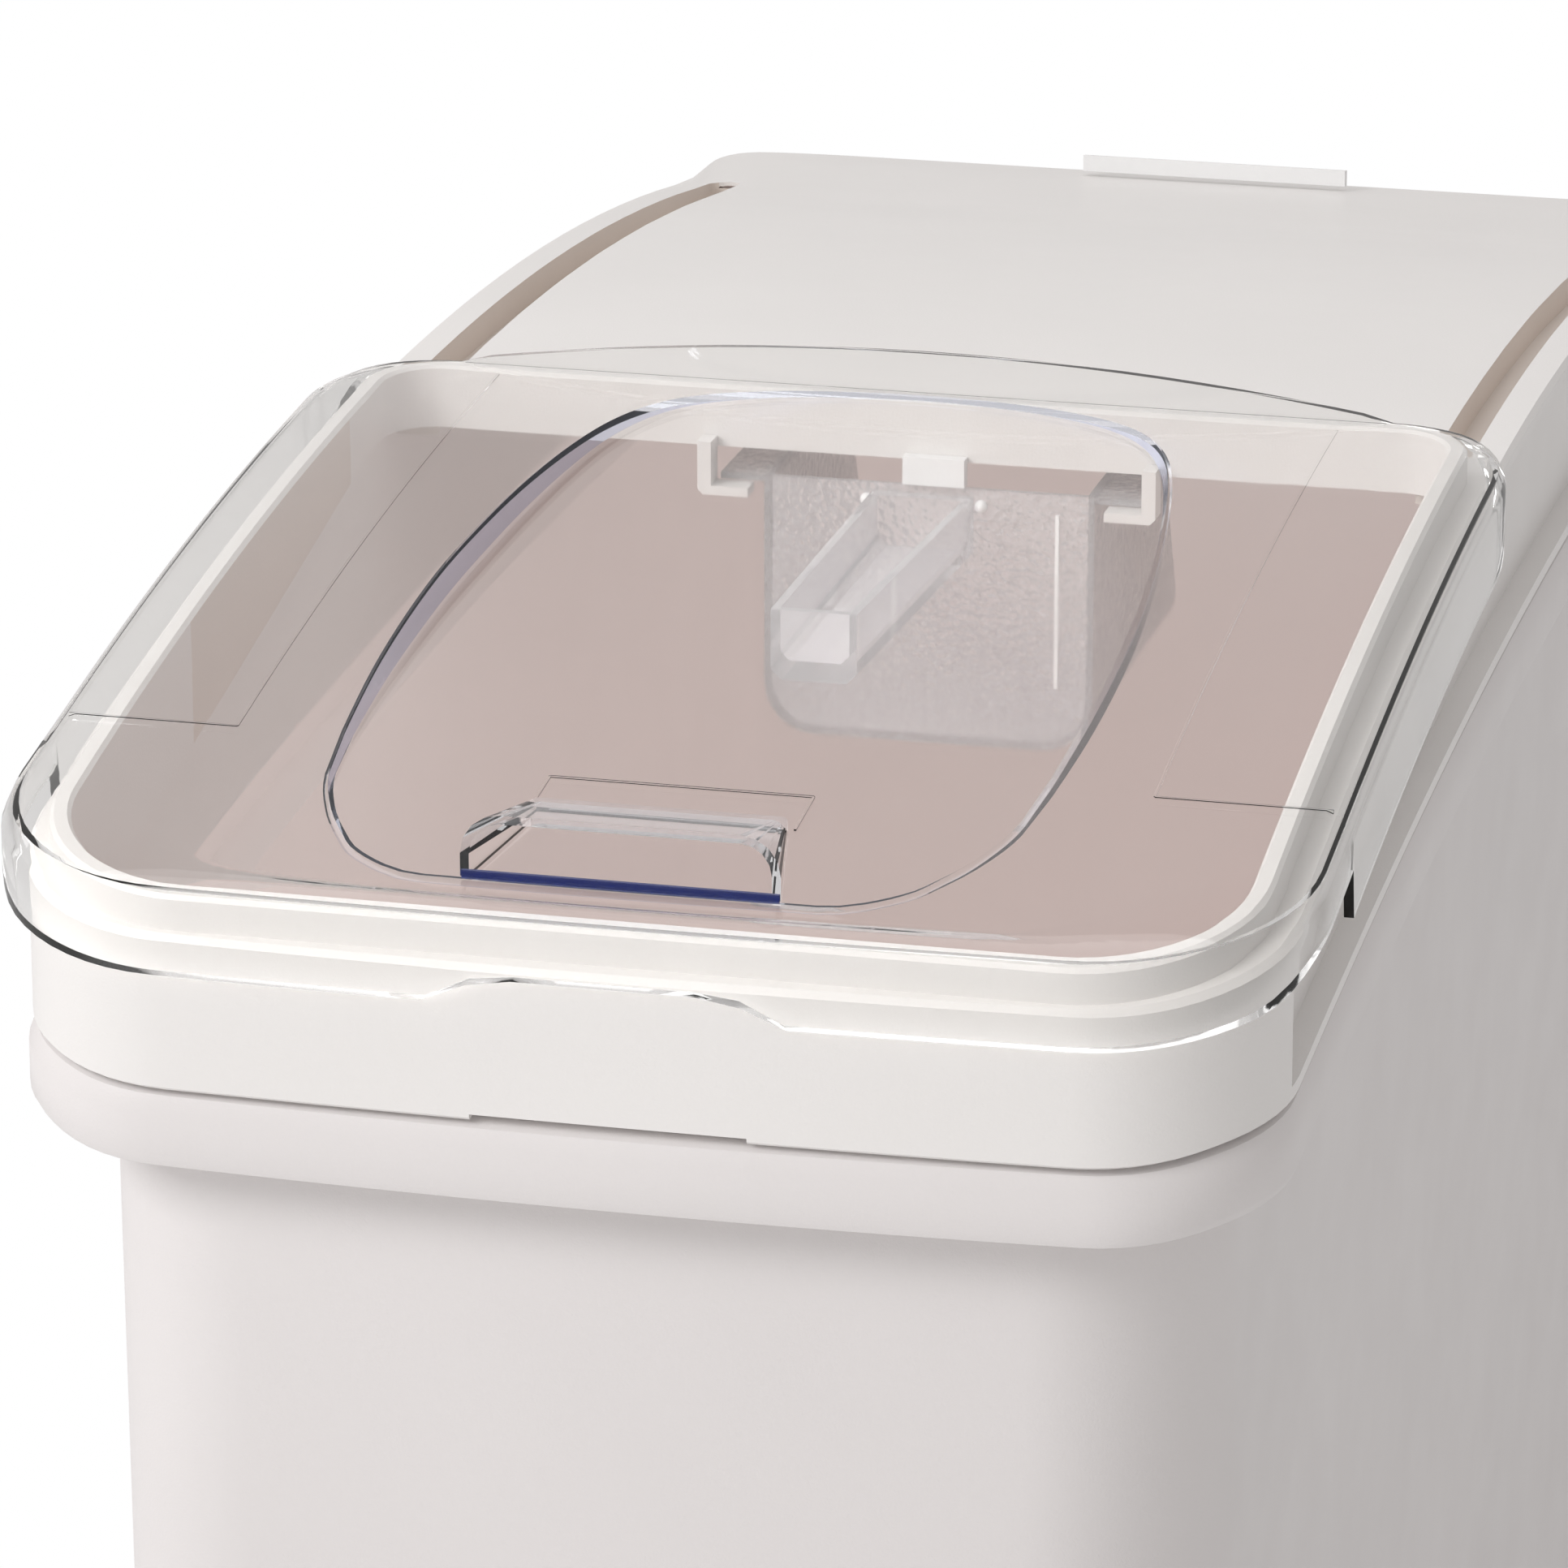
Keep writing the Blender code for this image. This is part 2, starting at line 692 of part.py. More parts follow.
def scoop_trough(name, inset, mat):
    """The bowl's outer solid, or with an inset its hollow, which runs out of the top and far end."""
    extra = 0.006 if inset else 0.0
    start = SCOOP_FRONT + inset
    half = scoop_section(inset)
    rim = SCOOP_TOP + extra
    loop = half + [(half[-1][0], rim), (-half[-1][0], rim)]
    loop += [(-x, z) for x, z in reversed(half[1:])]
    points = []
    for y, lean in ((start, 0.0), (start + 0.070, 0.0), (SCOOP_FRONT + SCOOP_LENGTH + extra, SCOOP_LEAN)):
        for x, z in loop:
            share = (z - SCOOP_LOW) / (SCOOP_TOP - SCOOP_LOW)
            points.append((SCOOP_X + x, y - lean * share, EDGE_LEVEL + z))
    count = len(points) // 3
    faces = [tuple(range(count)), tuple(range(2 * count, 3 * count))]
    faces += band_faces(count, 0, count) + band_faces(count, count, 2 * count)
    return mesh_object(name, points, faces, mat)


def handle_solid(name, mat):
    root, tip = (0.0140, 0.0160, -0.0030), (0.0115, 0.0115, -0.0075)
    return tapered_bar(name, root, tip, HANDLE_TIP, SCOOP_FRONT + 0.0008, mat)


def handle_channel(name, mat):
    root, tip = (0.0117, 0.0240, 0.0020), (0.0092, 0.0200, -0.0025)
    return tapered_bar(name, root, tip, HANDLE_TIP + 0.0022, SCOOP_FRONT - 0.0040, mat)


def tapered_bar(name, root, tip, y_tip, y_root, mat):
    """Bar toward the front. Each end is given as half width, top and underside."""
    points = []
    for y, (half, top, low), x in ((y_root, root, 0.0020), (y_tip, tip, -0.0040)):
        cut = half * 0.25
        right = [(half, top), (half, low + cut), (half - cut, low)]
        section = right + [(-dx, z) for dx, z in reversed(right)]
        points += [(x + dx, y, EDGE_LEVEL + z) for dx, z in section]
    faces = [tuple(range(6)), tuple(range(6, 12))] + band_faces(6, 0, 6)
    return mesh_object(name, points, faces, mat)


# Casters

def wheel_parts(tag, x, y, core_mat, tyre_mat):
    center = (x, y, WHEEL_RADIUS)
    half = WHEEL_HALF
    core = [
        (BORE_RADIUS, -half - 0.001), (0.0105, -half - 0.001), (0.0115, -half + 0.0030),
        (0.0230, -half + 0.0045), (0.0270, -half + 0.0010), (TYRE_INNER - 0.0003, -half + 0.0010),
        (TYRE_INNER - 0.0003, half - 0.0010), (0.0270, half - 0.0010), (0.0230, half - 0.0045),
        (0.0115, half - 0.0030), (0.0105, half + 0.001), (BORE_RADIUS, half + 0.001),
    ]
    tyre = [
        (TYRE_INNER, -half + 0.0008), (0.0350, -half + 0.0006), (0.0372, -half + 0.0030),
        (WHEEL_RADIUS, -0.0045), (WHEEL_RADIUS, 0.0045), (0.0372, half - 0.0030),
        (0.0350, half - 0.0006), (TYRE_INNER, half - 0.0008),
    ]
    put_origin(turned("caster_" + tag + "_wheel", core, "x", center, core_mat), center)
    put_origin(turned("caster_" + tag + "_tyre", tyre, "x", center, tyre_mat, steps=28), center)


def hexagon(radius):
    return [
        (radius * math.cos(math.radians(60 * i)), radius * math.sin(math.radians(60 * i)))
        for i in range(6)
    ]


def axle_parts(tag, x, y, mat):
    """Axle bolt with its head outside one leg, and a nut outside the other."""
    head = LEG_INNER + LEG_THICK + SEAM_GAP
    center = Vector((x, y, WHEEL_RADIUS))
    bolt_profile = [
        (0.0070, -head - 0.0050), (0.0078, -head - 0.0040), (0.0078, -head),
        (AXLE_RADIUS, -head), (AXLE_RADIUS, head + 0.0075),
    ]
    bolt = turned("caster_" + tag + "_axle", bolt_profile, "x", center, mat, steps=16, closed=False)
    put_origin(bolt, center)
    nut_outline = [(y + a, WHEEL_RADIUS + b) for a, b in hexagon(0.0088)]
    nut = prism("caster_" + tag + "_nut", nut_outline, "x", x + head, x + head + 0.0055, mat)
    bore = turned(
        "cut_nut_" + tag, [(AXLE_RADIUS + 0.0003, -0.001), (AXLE_RADIUS + 0.0003, 0.010)],
        "x", center + Vector((head, 0, 0)), mat, steps=16, closed=False,
    )
    boolean(nut, bore, "DIFFERENCE")
    put_origin(nut, center)


def leg_outline(top, half_top, y_shift):
    """Side of a fork leg: wide at the top, round about the axle."""
    radius = 0.0115
    points = [(-half_top, top), (half_top, top)]
    for i in range(9):
        angle = math.radians(20 - 220 * i / 8)
        points.append((y_shift + radius * math.cos(angle), WHEEL_RADIUS + radius * math.sin(angle)))
    return points


def make_fork(name, x, y, top, half_top, y_shift, crown_half, mat):
    """Inverted U of sheet steel: a crown and two legs with axle holes."""
    inner, thick = LEG_INNER, LEG_THICK
    crown = box(
        name, (x - inner - thick, y - crown_half, top - thick),
        (x + inner + thick, y + crown_half, top), mat,
    )
    for side in (-1, 1):
        low, high = sorted((x + side * inner, x + side * (inner + thick)))
        low, high = (low + 0.00005, high) if side < 0 else (low, high - 0.00005)
        outline = [(y + a, b) for a, b in leg_outline(top - 0.0006, half_top, y_shift)]
        leg = prism("add_leg_" + name + str(side), outline, "x", low, high, mat)
        boolean(crown, leg, "UNION")
    hole = turned(
        "cut_axle_" + name, [(BORE_RADIUS, -0.03), (BORE_RADIUS, 0.03)], "x",
        (x, y + y_shift, WHEEL_RADIUS), mat, steps=16, closed=False,
    )
    boolean(crown, hole, "DIFFERENCE")
    return crown


def make_plate(name, x, y, hole_radius, mat):
    outline = []
    for sx, sy, start in ((1, -1, -90), (1, 1, 0), (-1, 1, 90), (-1, -1, 180)):
        for i in range(4):
            angle = math.radians(start + 30 * i)
            outline.append((
                x + sx * (PLATE_HALF_X - 0.006) + 0.006 * math.cos(angle),
                y + sy * (PLATE_HALF_Y - 0.006) + 0.006 * math.sin(angle),
            ))
    plate = prism(name, outline, "z", PLATE_TOP - PLATE_THICK, PLATE_TOP, mat)
    if hole_radius:
        drill(plate, "cut_king_" + name, x, y, hole_radius, mat, 20)
    for i, (sx, sy) in enumerate(((-1, -1), (1, -1), (1, 1), (-1, 1))):
        drill(plate, "cut_bolt_%d_%s" % (i, name), x + sx * BOLT_X, y + sy * BOLT_Y, 0.0036, mat, 12)
    return plate


def drill(target, name, x, y, radius, mat, steps):
    tool = turned(
        name, [(radius, -0.012), (radius, 0.012)], "z", (x, y, PLATE_TOP), mat, steps=steps, closed=False
    )
    boolean(target, tool, "DIFFERENCE")


def make_plate_bolts(tag, x, y, mat):
    for i, (sx, sy) in enumerate(((-1, -1), (1, -1), (1, 1), (-1, 1))):
        head_top = PLATE_TOP - PLATE_THICK - SEAM_GAP
        profile = [
            (0.0062, head_top - 0.0042), (0.0066, head_top - 0.0036), (0.0066, head_top),
            (0.0032, head_top), (0.0032, PLATE_TOP),
        ]
        turned(
            "caster_%s_bolt_%d" % (tag, i + 1), profile, "z",
            (x + sx * BOLT_X, y + sy * BOLT_Y, 0.0), mat, steps=8, closed=False,
        )


def make_swivel(tag, side, mats):
    x, y = side * CASTER_X, SWIVEL_Y
    make_plate("caster_%s_plate" % tag, x, y, 0.0065, mats["steel"])
    make_plate_bolts(tag, x, y, mats["bolt"])
    race_top = PLATE_TOP - PLATE_THICK - SEAM_GAP
    race = [
        (0.0110, race_top - 0.0095), (0.0225, race_top - 0.0095), (0.0250, race_top - 0.0060),
        (0.0250, race_top - 0.0020), (0.0215, race_top), (0.0110, race_top),
    ]
    turned("caster_%s_race" % tag, race, "z", (x, y, 0.0), mats["steel"], steps=24)
    fork_top = race_top - 0.0095 - SEAM_GAP
    pin = [
        (0.0085, fork_top - 0.0026 - 0.0050), (0.0095, fork_top - 0.0026 - 0.0040),
        (0.0095, fork_top - 0.0026 - SEAM_GAP), (0.0060, fork_top - 0.0026 - SEAM_GAP),
        (0.0060, PLATE_TOP - 0.0003),
    ]
    turned("caster_%s_kingpin" % tag, pin, "z", (x, y, 0.0), mats["bolt"], steps=16, closed=False)
    fork = make_fork("caster_%s_fork" % tag, x, y, fork_top, 0.0210, TRAIL, 0.0230, mats["steel"])
    tool = turned(
        "cut_pin_" + tag, [(0.0066, -0.02), (0.0066, 0.02)], "z", (x, y, fork_top), mats["steel"],
        steps=16, closed=False,
    )
    boolean(fork, tool, "DIFFERENCE")
    put_origin(fork, (x, y, fork_top))
    wheel_parts(tag, x, y + TRAIL, mats["core"], mats["tyre"])
    axle_parts(tag, x, y + TRAIL, mats["bolt"])


def make_rigid(tag, side, mats):
    x, y = side * CASTER_X, RIGID_Y
    make_plate("caster_%s_plate" % tag, x, y, 0.0, mats["steel"])
    make_plate_bolts(tag, x, y, mats["bolt"])
    top = PLATE_TOP - PLATE_THICK - SEAM_GAP
    make_fork("caster_%s_bracket" % tag, x, y, top, 0.0230, 0.0, 0.0230, mats["steel"])
    wheel_parts(tag, x, y, mats["core"], mats["tyre"])
    axle_parts(tag, x, y, mats["bolt"])


def main():
    clear_scene()
    white = material("bin_white", (0.86, 0.84, 0.83), 0.42)
    lid_white = material("lid_white", (0.90, 0.89, 0.87), 0.38)
    clear = material("clear_plastic", (0.93, 0.95, 0.97), 0.05, transmission=1.0)
    scoop_clear = material("scoop_plastic", (0.92, 0.94, 0.96), 0.18, transmission=1.0)
    mats = {
        "steel": material("zinc_steel", (0.62, 0.63, 0.65), 0.35, metallic=1.0),
        "bolt": material("bolt_steel", (0.50, 0.51, 0.53), 0.30, metallic=1.0),
        "core": material("wheel_plastic", (0.30, 0.31, 0.33), 0.45),
        "tyre": material("tyre_rubber", (0.10, 0.10, 0.11), 0.70),
    }
    make_bin(white)
    make_lid(lid_white)
    door = make_door(clear)
    put_origin(door, (0.0, DOOR_REAR - 0.0005, arch(DOOR_REAR) + SHEET_RISE - SHEET))
    make_stop(lid_white)
    for side in (-1, 1):
        make_hook(side, lid_white)
    make_catch(lid_white)
    put_origin(make_scoop(scoop_clear), (SCOOP_X, SCOOP_FRONT, EDGE_LEVEL))
    for side, name in ((-1, "left"), (1, "right")):
        make_swivel("front_" + name, side, mats)
        make_rigid("rear_" + name, side, mats)


main()
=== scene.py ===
"""Looks of the wheeled food bin: fine plastic shells, clear door and scoop, and metal casters."""

import math

import bmesh
import bpy
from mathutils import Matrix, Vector


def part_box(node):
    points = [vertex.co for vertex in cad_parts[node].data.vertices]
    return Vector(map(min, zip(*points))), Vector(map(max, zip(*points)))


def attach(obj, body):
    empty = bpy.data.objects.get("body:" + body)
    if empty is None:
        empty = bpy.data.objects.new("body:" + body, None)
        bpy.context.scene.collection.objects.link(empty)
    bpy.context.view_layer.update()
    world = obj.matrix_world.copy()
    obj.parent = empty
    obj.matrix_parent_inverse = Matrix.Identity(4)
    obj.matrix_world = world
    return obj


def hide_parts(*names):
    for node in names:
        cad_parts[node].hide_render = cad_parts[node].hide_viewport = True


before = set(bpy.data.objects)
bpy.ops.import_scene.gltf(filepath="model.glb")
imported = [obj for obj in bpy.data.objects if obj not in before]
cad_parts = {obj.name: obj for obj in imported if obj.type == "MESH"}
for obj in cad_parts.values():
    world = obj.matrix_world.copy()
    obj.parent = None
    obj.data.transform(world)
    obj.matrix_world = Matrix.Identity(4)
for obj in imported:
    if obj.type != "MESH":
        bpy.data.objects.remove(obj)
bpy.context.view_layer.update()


# Overall size, metres
BODY_BOTTOM = 0.0983
ARCH_TOP = 0.6980
ARCH_RADIUS = 1.650
ARCH_Y = 0.010
EDGE_LEVEL = ARCH_TOP - 0.04225  # height of the arch at the front edge of the opening

# Bin
RIM_HALF = 0.1577
RIM_REAR = 0.3745
RIM_INSET = 0.0167
RIM_WALL = 0.0072
RIM_DEPTH = 0.0207
FRONT_DIP = 0.0012  # how far the seam sags across the front
WALL = 0.0032
TAPER = 0.0034

# Lid
LID_HALF = 0.1570
LID_FRONT = -0.3670
LID_REAR = 0.3740
LID_SPLIT = -0.0640
OPEN_HALF = 0.1454
OPEN_FRONT = -0.3610
OPEN_REAR = -0.0485
OPEN_RADIUS_FRONT = 0.038
OPEN_RADIUS_REAR = 0.015
DECK_DROP = 0.0085
DECK_WALL = 0.0030
RISE_START = 0.2950
RISE_END = 0.3600
RISE_SHARE = 0.90  # how much of the drop the rear end wins back
GROOVE_IN = 0.1375
GROOVE_OUT = 0.1475
GROOVE_DROP = 0.0170
GROOVE_FRONT = -0.0405
GROOVE_REAR = 0.3000
RECESS_IN = 0.1503
RECESS_FRONT = -0.3280
RECESS_REAR = 0.3250
NOTCH_HALF = 0.0340
SEAM_GAP = 0.0003
LIP_DEPTH = 0.0060

# Door
DOOR_HALF = 0.1638
DOOR_FRONT = -0.3720
DOOR_REAR = -0.0440
DOOR_RADIUS_FRONT = 0.052
DOOR_RADIUS_REAR = 0.036
REAR_SHARE = 0.35  # how much of an inset the plain rear edge takes
SHEET = 0.0025
SHEET_RISE = 0.0030
DOOR_FILLET = 0.0070
LIP_HALF = 0.1310
LIP_HEIGHT = 0.0108
GRIP_HALF = 0.0392
GRIP_FRONT = -0.3575
GRIP_BACK = -0.3200
GRIP_WALL = 0.0014
SKIRT_STEP = -0.2915  # where the skirt's lower edge steps up
SIDE_LINE = 0.1150
LINE_HALF = 0.0003
LINE_SINK = 0.0008
SHEET_LINE_RISE = 0.00025
PANEL_LINE_RISE = 0.0004
WINDOW_MIDDLE = -0.205
WINDOW_HALF = 0.0905
WINDOW_REACH = 0.1555  # half the window's length
WINDOW = [
    (0.0, -0.3600), (0.020, -0.3599), (0.039, -0.3596), (0.054, -0.3585), (0.067, -0.3500),
    (0.0735, -0.3410), (0.081, -0.3260), (0.0865, -0.3060), (0.0895, -0.2680), (0.0905, -0.2350),
    (0.0900, -0.1980), (0.0880, -0.1680), (0.0850, -0.1380), (0.0805, -0.1090), (0.0750, -0.0870),
    (0.0670, -0.0710), (0.0560, -0.0610), (0.0390, -0.0541), (0.0200, -0.0505), (0.0, -0.0492),
]

# Scoop, its heights measured from the opening's edge
SCOOP_X = 0.0035
SCOOP_FRONT = -0.0515
SCOOP_TOP = 0.0180
SCOOP_LOW = -0.0540
SCOOP_HALF = 0.0455
SCOOP_LENGTH = 0.118
SCOOP_WALL = 0.0020
SCOOP_RADIUS = 0.0140
SCOOP_LEAN = 0.030  # how far the far edge leans forward from floor to rim
HANDLE_TIP = -0.1500

# Casters
WHEEL_HALF = 0.0125

# Points along each stretch of an outline
FRONT_STEPS, CORNER_STEPS, SIDE_STEPS, TAIL_STEPS, REAR_STEPS = 10, 14, 26, 18, 10


# Meshes

def mesh_object(name, points, faces, mat, slots=None):
    mesh = bpy.data.meshes.new(name)
    mesh.from_pydata(points, [], faces)
    if slots is not None:
        mesh.polygons.foreach_set("material_index", slots)
    work = bmesh.new()
    work.from_mesh(mesh)
    bmesh.ops.remove_doubles(work, verts=work.verts, dist=1e-6)
    bmesh.ops.recalc_face_normals(work, faces=work.faces)
    work.to_mesh(mesh)
    work.free()
    obj = bpy.data.objects.new(name, mesh)
    bpy.context.collection.objects.link(obj)
    mesh.materials.append(mat)
    return obj


def boolean(target, cutter, operation):
    """Joins or cuts at once, so that no cutter is left in the scene."""
    mod = target.modifiers.new("cut", "BOOLEAN")
    mod.operation = operation
    mod.solver = "EXACT"
    mod.object = cutter
    graph = bpy.context.evaluated_depsgraph_get()
    result = bpy.data.meshes.new_from_object(target.evaluated_get(graph))
    target.modifiers.clear()
    target.data = result
    bpy.data.objects.remove(cutter)


def weld(obj, distance):
    """Merges points closer than distance, so that a sliver left by a cut is closed."""
    mesh = bmesh.new()
    mesh.from_mesh(obj.data)
    bmesh.ops.remove_doubles(mesh, verts=mesh.verts, dist=distance)
    mesh.to_mesh(obj.data)
    mesh.free()


def shade(obj, degrees=32):
    obj.data.shade_smooth()
    obj.data.set_sharp_from_angle(angle=math.radians(degrees))


# Curves of the shells

def arch(y):
    return ARCH_TOP - ARCH_RADIUS + math.sqrt(ARCH_RADIUS**2 - (y - ARCH_Y) ** 2)


def seam(y):
    return EDGE_LEVEL - 0.0213 - (y - 0.059) ** 2 / 6.6 - FRONT_DIP * ease(-y, 0.350, 0.368)


def ease(value, low, high):
    t = min(max((value - low) / (high - low), 0.0), 1.0)
    return t * t * (3 - 2 * t)


def deck(y):
    return arch(y) - DECK_DROP * (1 - RISE_SHARE * ease(y, RISE_START, RISE_END))


def skirt_low(y):
    return EDGE_LEVEL + min(-0.0362 + 0.212 * (y - OPEN_FRONT), 0.0245)


def sheet(y):
    return arch(y) + SHEET_RISE + 0.0033 * max(0.0, (-0.280 - y) / 0.080) ** 2


def window_plane(y):
    return EDGE_LEVEL + 0.0080 + 0.1186 * (y + 0.347)


# Outlines: half an outline runs from the middle of the front to the middle of the rear

def corner(cx, cy, radius, start):
    points = []
    for i in range(1, CORNER_STEPS + 1):
        angle = math.radians(start + 90 * i / CORNER_STEPS)
        points.append((cx + radius * math.cos(angle), cy + radius * math.sin(angle)))
    return points


def line(start, end, steps):
    return [
        (start[0] + (end[0] - start[0]) * i / steps, start[1] + (end[1] - start[1]) * i / steps)
        for i in range(1, steps + 1)
    ]


def bowed(points, half, bow, front):
    """Front edge points pushed forward by bow in the middle, fading out at the sides."""
    out = []
    for x, y in points:
        share = 1 - min(abs(x) / half, 1.0) ** 2
        out.append((x, y - bow * share if y < front + 0.06 else y))
    return out


def box_outline(half, front, rear, r_front, r_rear, short=False, bow=0.0):
    """Rounded rectangle. A short one ends near LID_SPLIT: its corner follows the side at once."""
    points = [(0.0, front)]
    points += line(points[-1], (half - r_front, front), FRONT_STEPS)
    points += corner(half - r_front, front + r_front, r_front, -90)
    points += line(points[-1], (half, LID_SPLIT), SIDE_STEPS)
    if not short:
        points += line(points[-1], (half, rear - r_rear), TAIL_STEPS)
        points += corner(half - r_rear, rear - r_rear, r_rear, 0)
        points += line(points[-1], (0.0, rear), REAR_STEPS)
    else:
        points += corner(half - r_rear, rear - r_rear, r_rear, 0)
        points += line(points[-1], (0.0, rear), TAIL_STEPS + REAR_STEPS)
    return bowed(points, half, bow, front)


def blend(first, second, share):
    return [
        (a[0] + (b[0] - a[0]) * share, a[1] + (b[1] - a[1]) * share)
        for a, b in zip(first, second)
    ]


def ring(outline, height):
    """Closed ring of points: the half outline, then its mirror image back to the start."""
    heights = [height(x, y) for x, y in outline]
    half = [(x, y, z) for (x, y), z in zip(outline, heights)]
    return half + [(-x, y, z) for x, y, z in reversed(half[1:-1])]


def level(z):
    return lambda x, y: z


def above(curve, rise):
    return lambda x, y: curve(y) + rise


def band_faces(count, first, second):
    return [
        (first + i, first + (i + 1) % count, second + (i + 1) % count, second + i)
        for i in range(count)
    ]


def cap_faces(loop, start):
    """Strips between the two mirrored halves, so that a cap can follow the arch."""
    count = len(loop)
    middle = count // 2
    first, last = 0, middle
    while abs(loop[first + 1][1] - loop[0][1]) < 1e-7:
        first += 1
    while abs(loop[last - 1][1] - loop[middle][1]) < 1e-7:
        last -= 1
    front = list(range(first + 2)) + list(range(count - first - 1, count))
    rear = list(range(last - 1, count - last + 2))
    faces = [tuple(start + i for i in front), tuple(start + i for i in rear)]
    for i in range(first + 1, last - 1):
        faces.append((start + i, start + i + 1, start + count - i - 1, start + count - i))
    return faces


def loft(name, rings, mat, closed=False, marked=()):
    """Skin over the rings. Faces of the bands listed in marked take the second material."""
    count = len(rings[0])
    points = [point for loop in rings for point in loop]
    faces, slots = [], []
    for i in range(len(rings) - 1):
        faces += band_faces(count, i * count, (i + 1) * count)
        slots += [1 if i in marked else 0] * count
    if closed:
        faces += band_faces(count, (len(rings) - 1) * count, 0)
    else:
        faces += cap_faces(rings[0], 0)
        faces += cap_faces(rings[-1], (len(rings) - 1) * count)
    slots += [0] * (len(faces) - len(slots))
    return mesh_object(name, points, faces, mat, slots)


def arched_bar(name, x_low, x_high, y_low, y_high, low, high, mat, steps=12):
    """Bar along Y whose underside and top follow the curves low(y) and high(y)."""
    points = []
    for i in range(steps + 1):
        y = y_low + (y_high - y_low) * i / steps
        points += [(x_low, y, low(y)), (x_high, y, low(y)), (x_high, y, high(y)), (x_low, y, high(y))]
    faces = [(0, 1, 2, 3), tuple(4 * steps + i for i in range(4))]
    for i in range(steps):
        faces += band_faces(4, 4 * i, 4 * i + 4)
    return mesh_object(name, points, faces, mat)


def prism(name, outline, axis, low, high, mat):
    """Flat outline pushed along X, Y or Z from low to high."""
    def place(a, b, along):
        return {"x": (along, a, b), "y": (a, along, b), "z": (a, b, along)}[axis]
    count = len(outline)
    points = [place(a, b, along) for along in (low, high) for a, b in outline]
    faces = [tuple(range(count)), tuple(range(count, 2 * count))]
    faces += band_faces(count, 0, count)
    return mesh_object(name, points, faces, mat)


def box(name, low, high, mat):
    outline = [(low[0], low[1]), (high[0], low[1]), (high[0], high[1]), (low[0], high[1])]
    return prism(name, outline, "z", low[2], high[2], mat)


def turned(name, profile, axis, center, mat, steps=20, closed=True):
    """Profile of (radius, distance along the axis) turned round the axis through center."""
    def place(radius, along, angle):
        a, b = radius * math.cos(angle), radius * math.sin(angle)
        return (along, a, b) if axis == "x" else (a, b, along)
    count = len(profile)
    points, faces = [], []
    for i in range(steps):
        angle = 2 * math.pi * (i + 0.5) / steps
        points += [Vector(center) + Vector(place(r, d, angle)) for r, d in profile]
    for i in range(steps):
        here, there = i * count, ((i + 1) % steps) * count
        for j in range(count if closed else count - 1):
            k = (j + 1) % count
            faces.append((here + j, here + k, there + k, there + j))
    if not closed:
        faces.append(tuple(i * count for i in range(steps)))
        faces.append(tuple(i * count + count - 1 for i in range(steps)))
    return mesh_object(name, points, faces, mat)


# Materials

class Nodes:
    """Adds nodes to one material, each reading the same object coordinates."""

    def __init__(self, name):
        self.mat = bpy.data.materials.new(name)
        self.mat.use_nodes = True
        self.tree = self.mat.node_tree
        self.shader = self.tree.nodes["Principled BSDF"]
        self.output = self.tree.nodes["Material Output"]
        self.coords = self.tree.nodes.new("ShaderNodeTexCoord").outputs["Object"]

    def link(self, start, end):
        self.tree.links.new(start, end)

    def fixed(self, **values):
        for name, value in values.items():
            self.shader.inputs[name.replace("_", " ")].default_value = value

    def noise(self, scale, detail=3.0, stretch=(1, 1, 1)):
        node = self.tree.nodes.new("ShaderNodeTexNoise")
        node.inputs["Scale"].default_value = scale
        node.inputs["Detail"].default_value = detail
        mapping = self.tree.nodes.new("ShaderNodeMapping")
        mapping.inputs["Scale"].default_value = stretch
        self.link(self.coords, mapping.inputs["Vector"])
        self.link(mapping.outputs["Vector"], node.inputs["Vector"])
        return node.outputs["Fac"]

    def voronoi(self, scale):
        node = self.tree.nodes.new("ShaderNodeTexVoronoi")
        node.inputs["Scale"].default_value = scale
        self.link(self.coords, node.inputs["Vector"])
        return node.outputs["Distance"]

    def ramp(self, source, stops):
        """stops: (position, colour or grey value)."""
        node = self.tree.nodes.new("ShaderNodeValToRGB")
        ramp = node.color_ramp
        while len(ramp.elements) < len(stops):
            ramp.elements.new(0.5)
        for element, (position, value) in zip(ramp.elements, stops):
            element.position = position
            element.color = (*value, 1.0) if isinstance(value, tuple) else (value, value, value, 1.0)
        self.link(source, node.inputs["Fac"])
        return node.outputs["Color"]

    def ranged(self, source, low, high):
        node = self.tree.nodes.new("ShaderNodeMapRange")
        node.inputs["From Min"].default_value = 0.3
        node.inputs["From Max"].default_value = 0.7
        node.inputs["To Min"].default_value = low
        node.inputs["To Max"].default_value = high
        self.link(source, node.inputs["Value"])
        return node.outputs["Result"]

    def bump(self, source, height, before=None):
        node = self.tree.nodes.new("ShaderNodeBump")
        node.inputs["Strength"].default_value = 1.0
        node.inputs["Distance"].default_value = height
        self.link(source, node.inputs["Height"])
        if before is not None:
            self.link(before, node.inputs["Normal"])
        self.link(node.outputs["Normal"], self.shader.inputs["Normal"])
        return node.outputs["Normal"]

    def lets_light_through(self, tint):
        """Shadow rays pass the clear plastic, tinted, so that what is behind it is lit."""
        path = self.tree.nodes.new("ShaderNodeLightPath")
        clear = self.tree.nodes.new("ShaderNodeBsdfTransparent")
        clear.inputs["Color"].default_value = (*tint, 1.0)
        mix = self.tree.nodes.new("ShaderNodeMixShader")
        self.link(path.outputs["Is Shadow Ray"], mix.inputs["Fac"])
        self.link(self.shader.outputs["BSDF"], mix.inputs[1])
        self.link(clear.outputs["BSDF"], mix.inputs[2])
        self.link(mix.outputs["Shader"], self.output.inputs["Surface"])


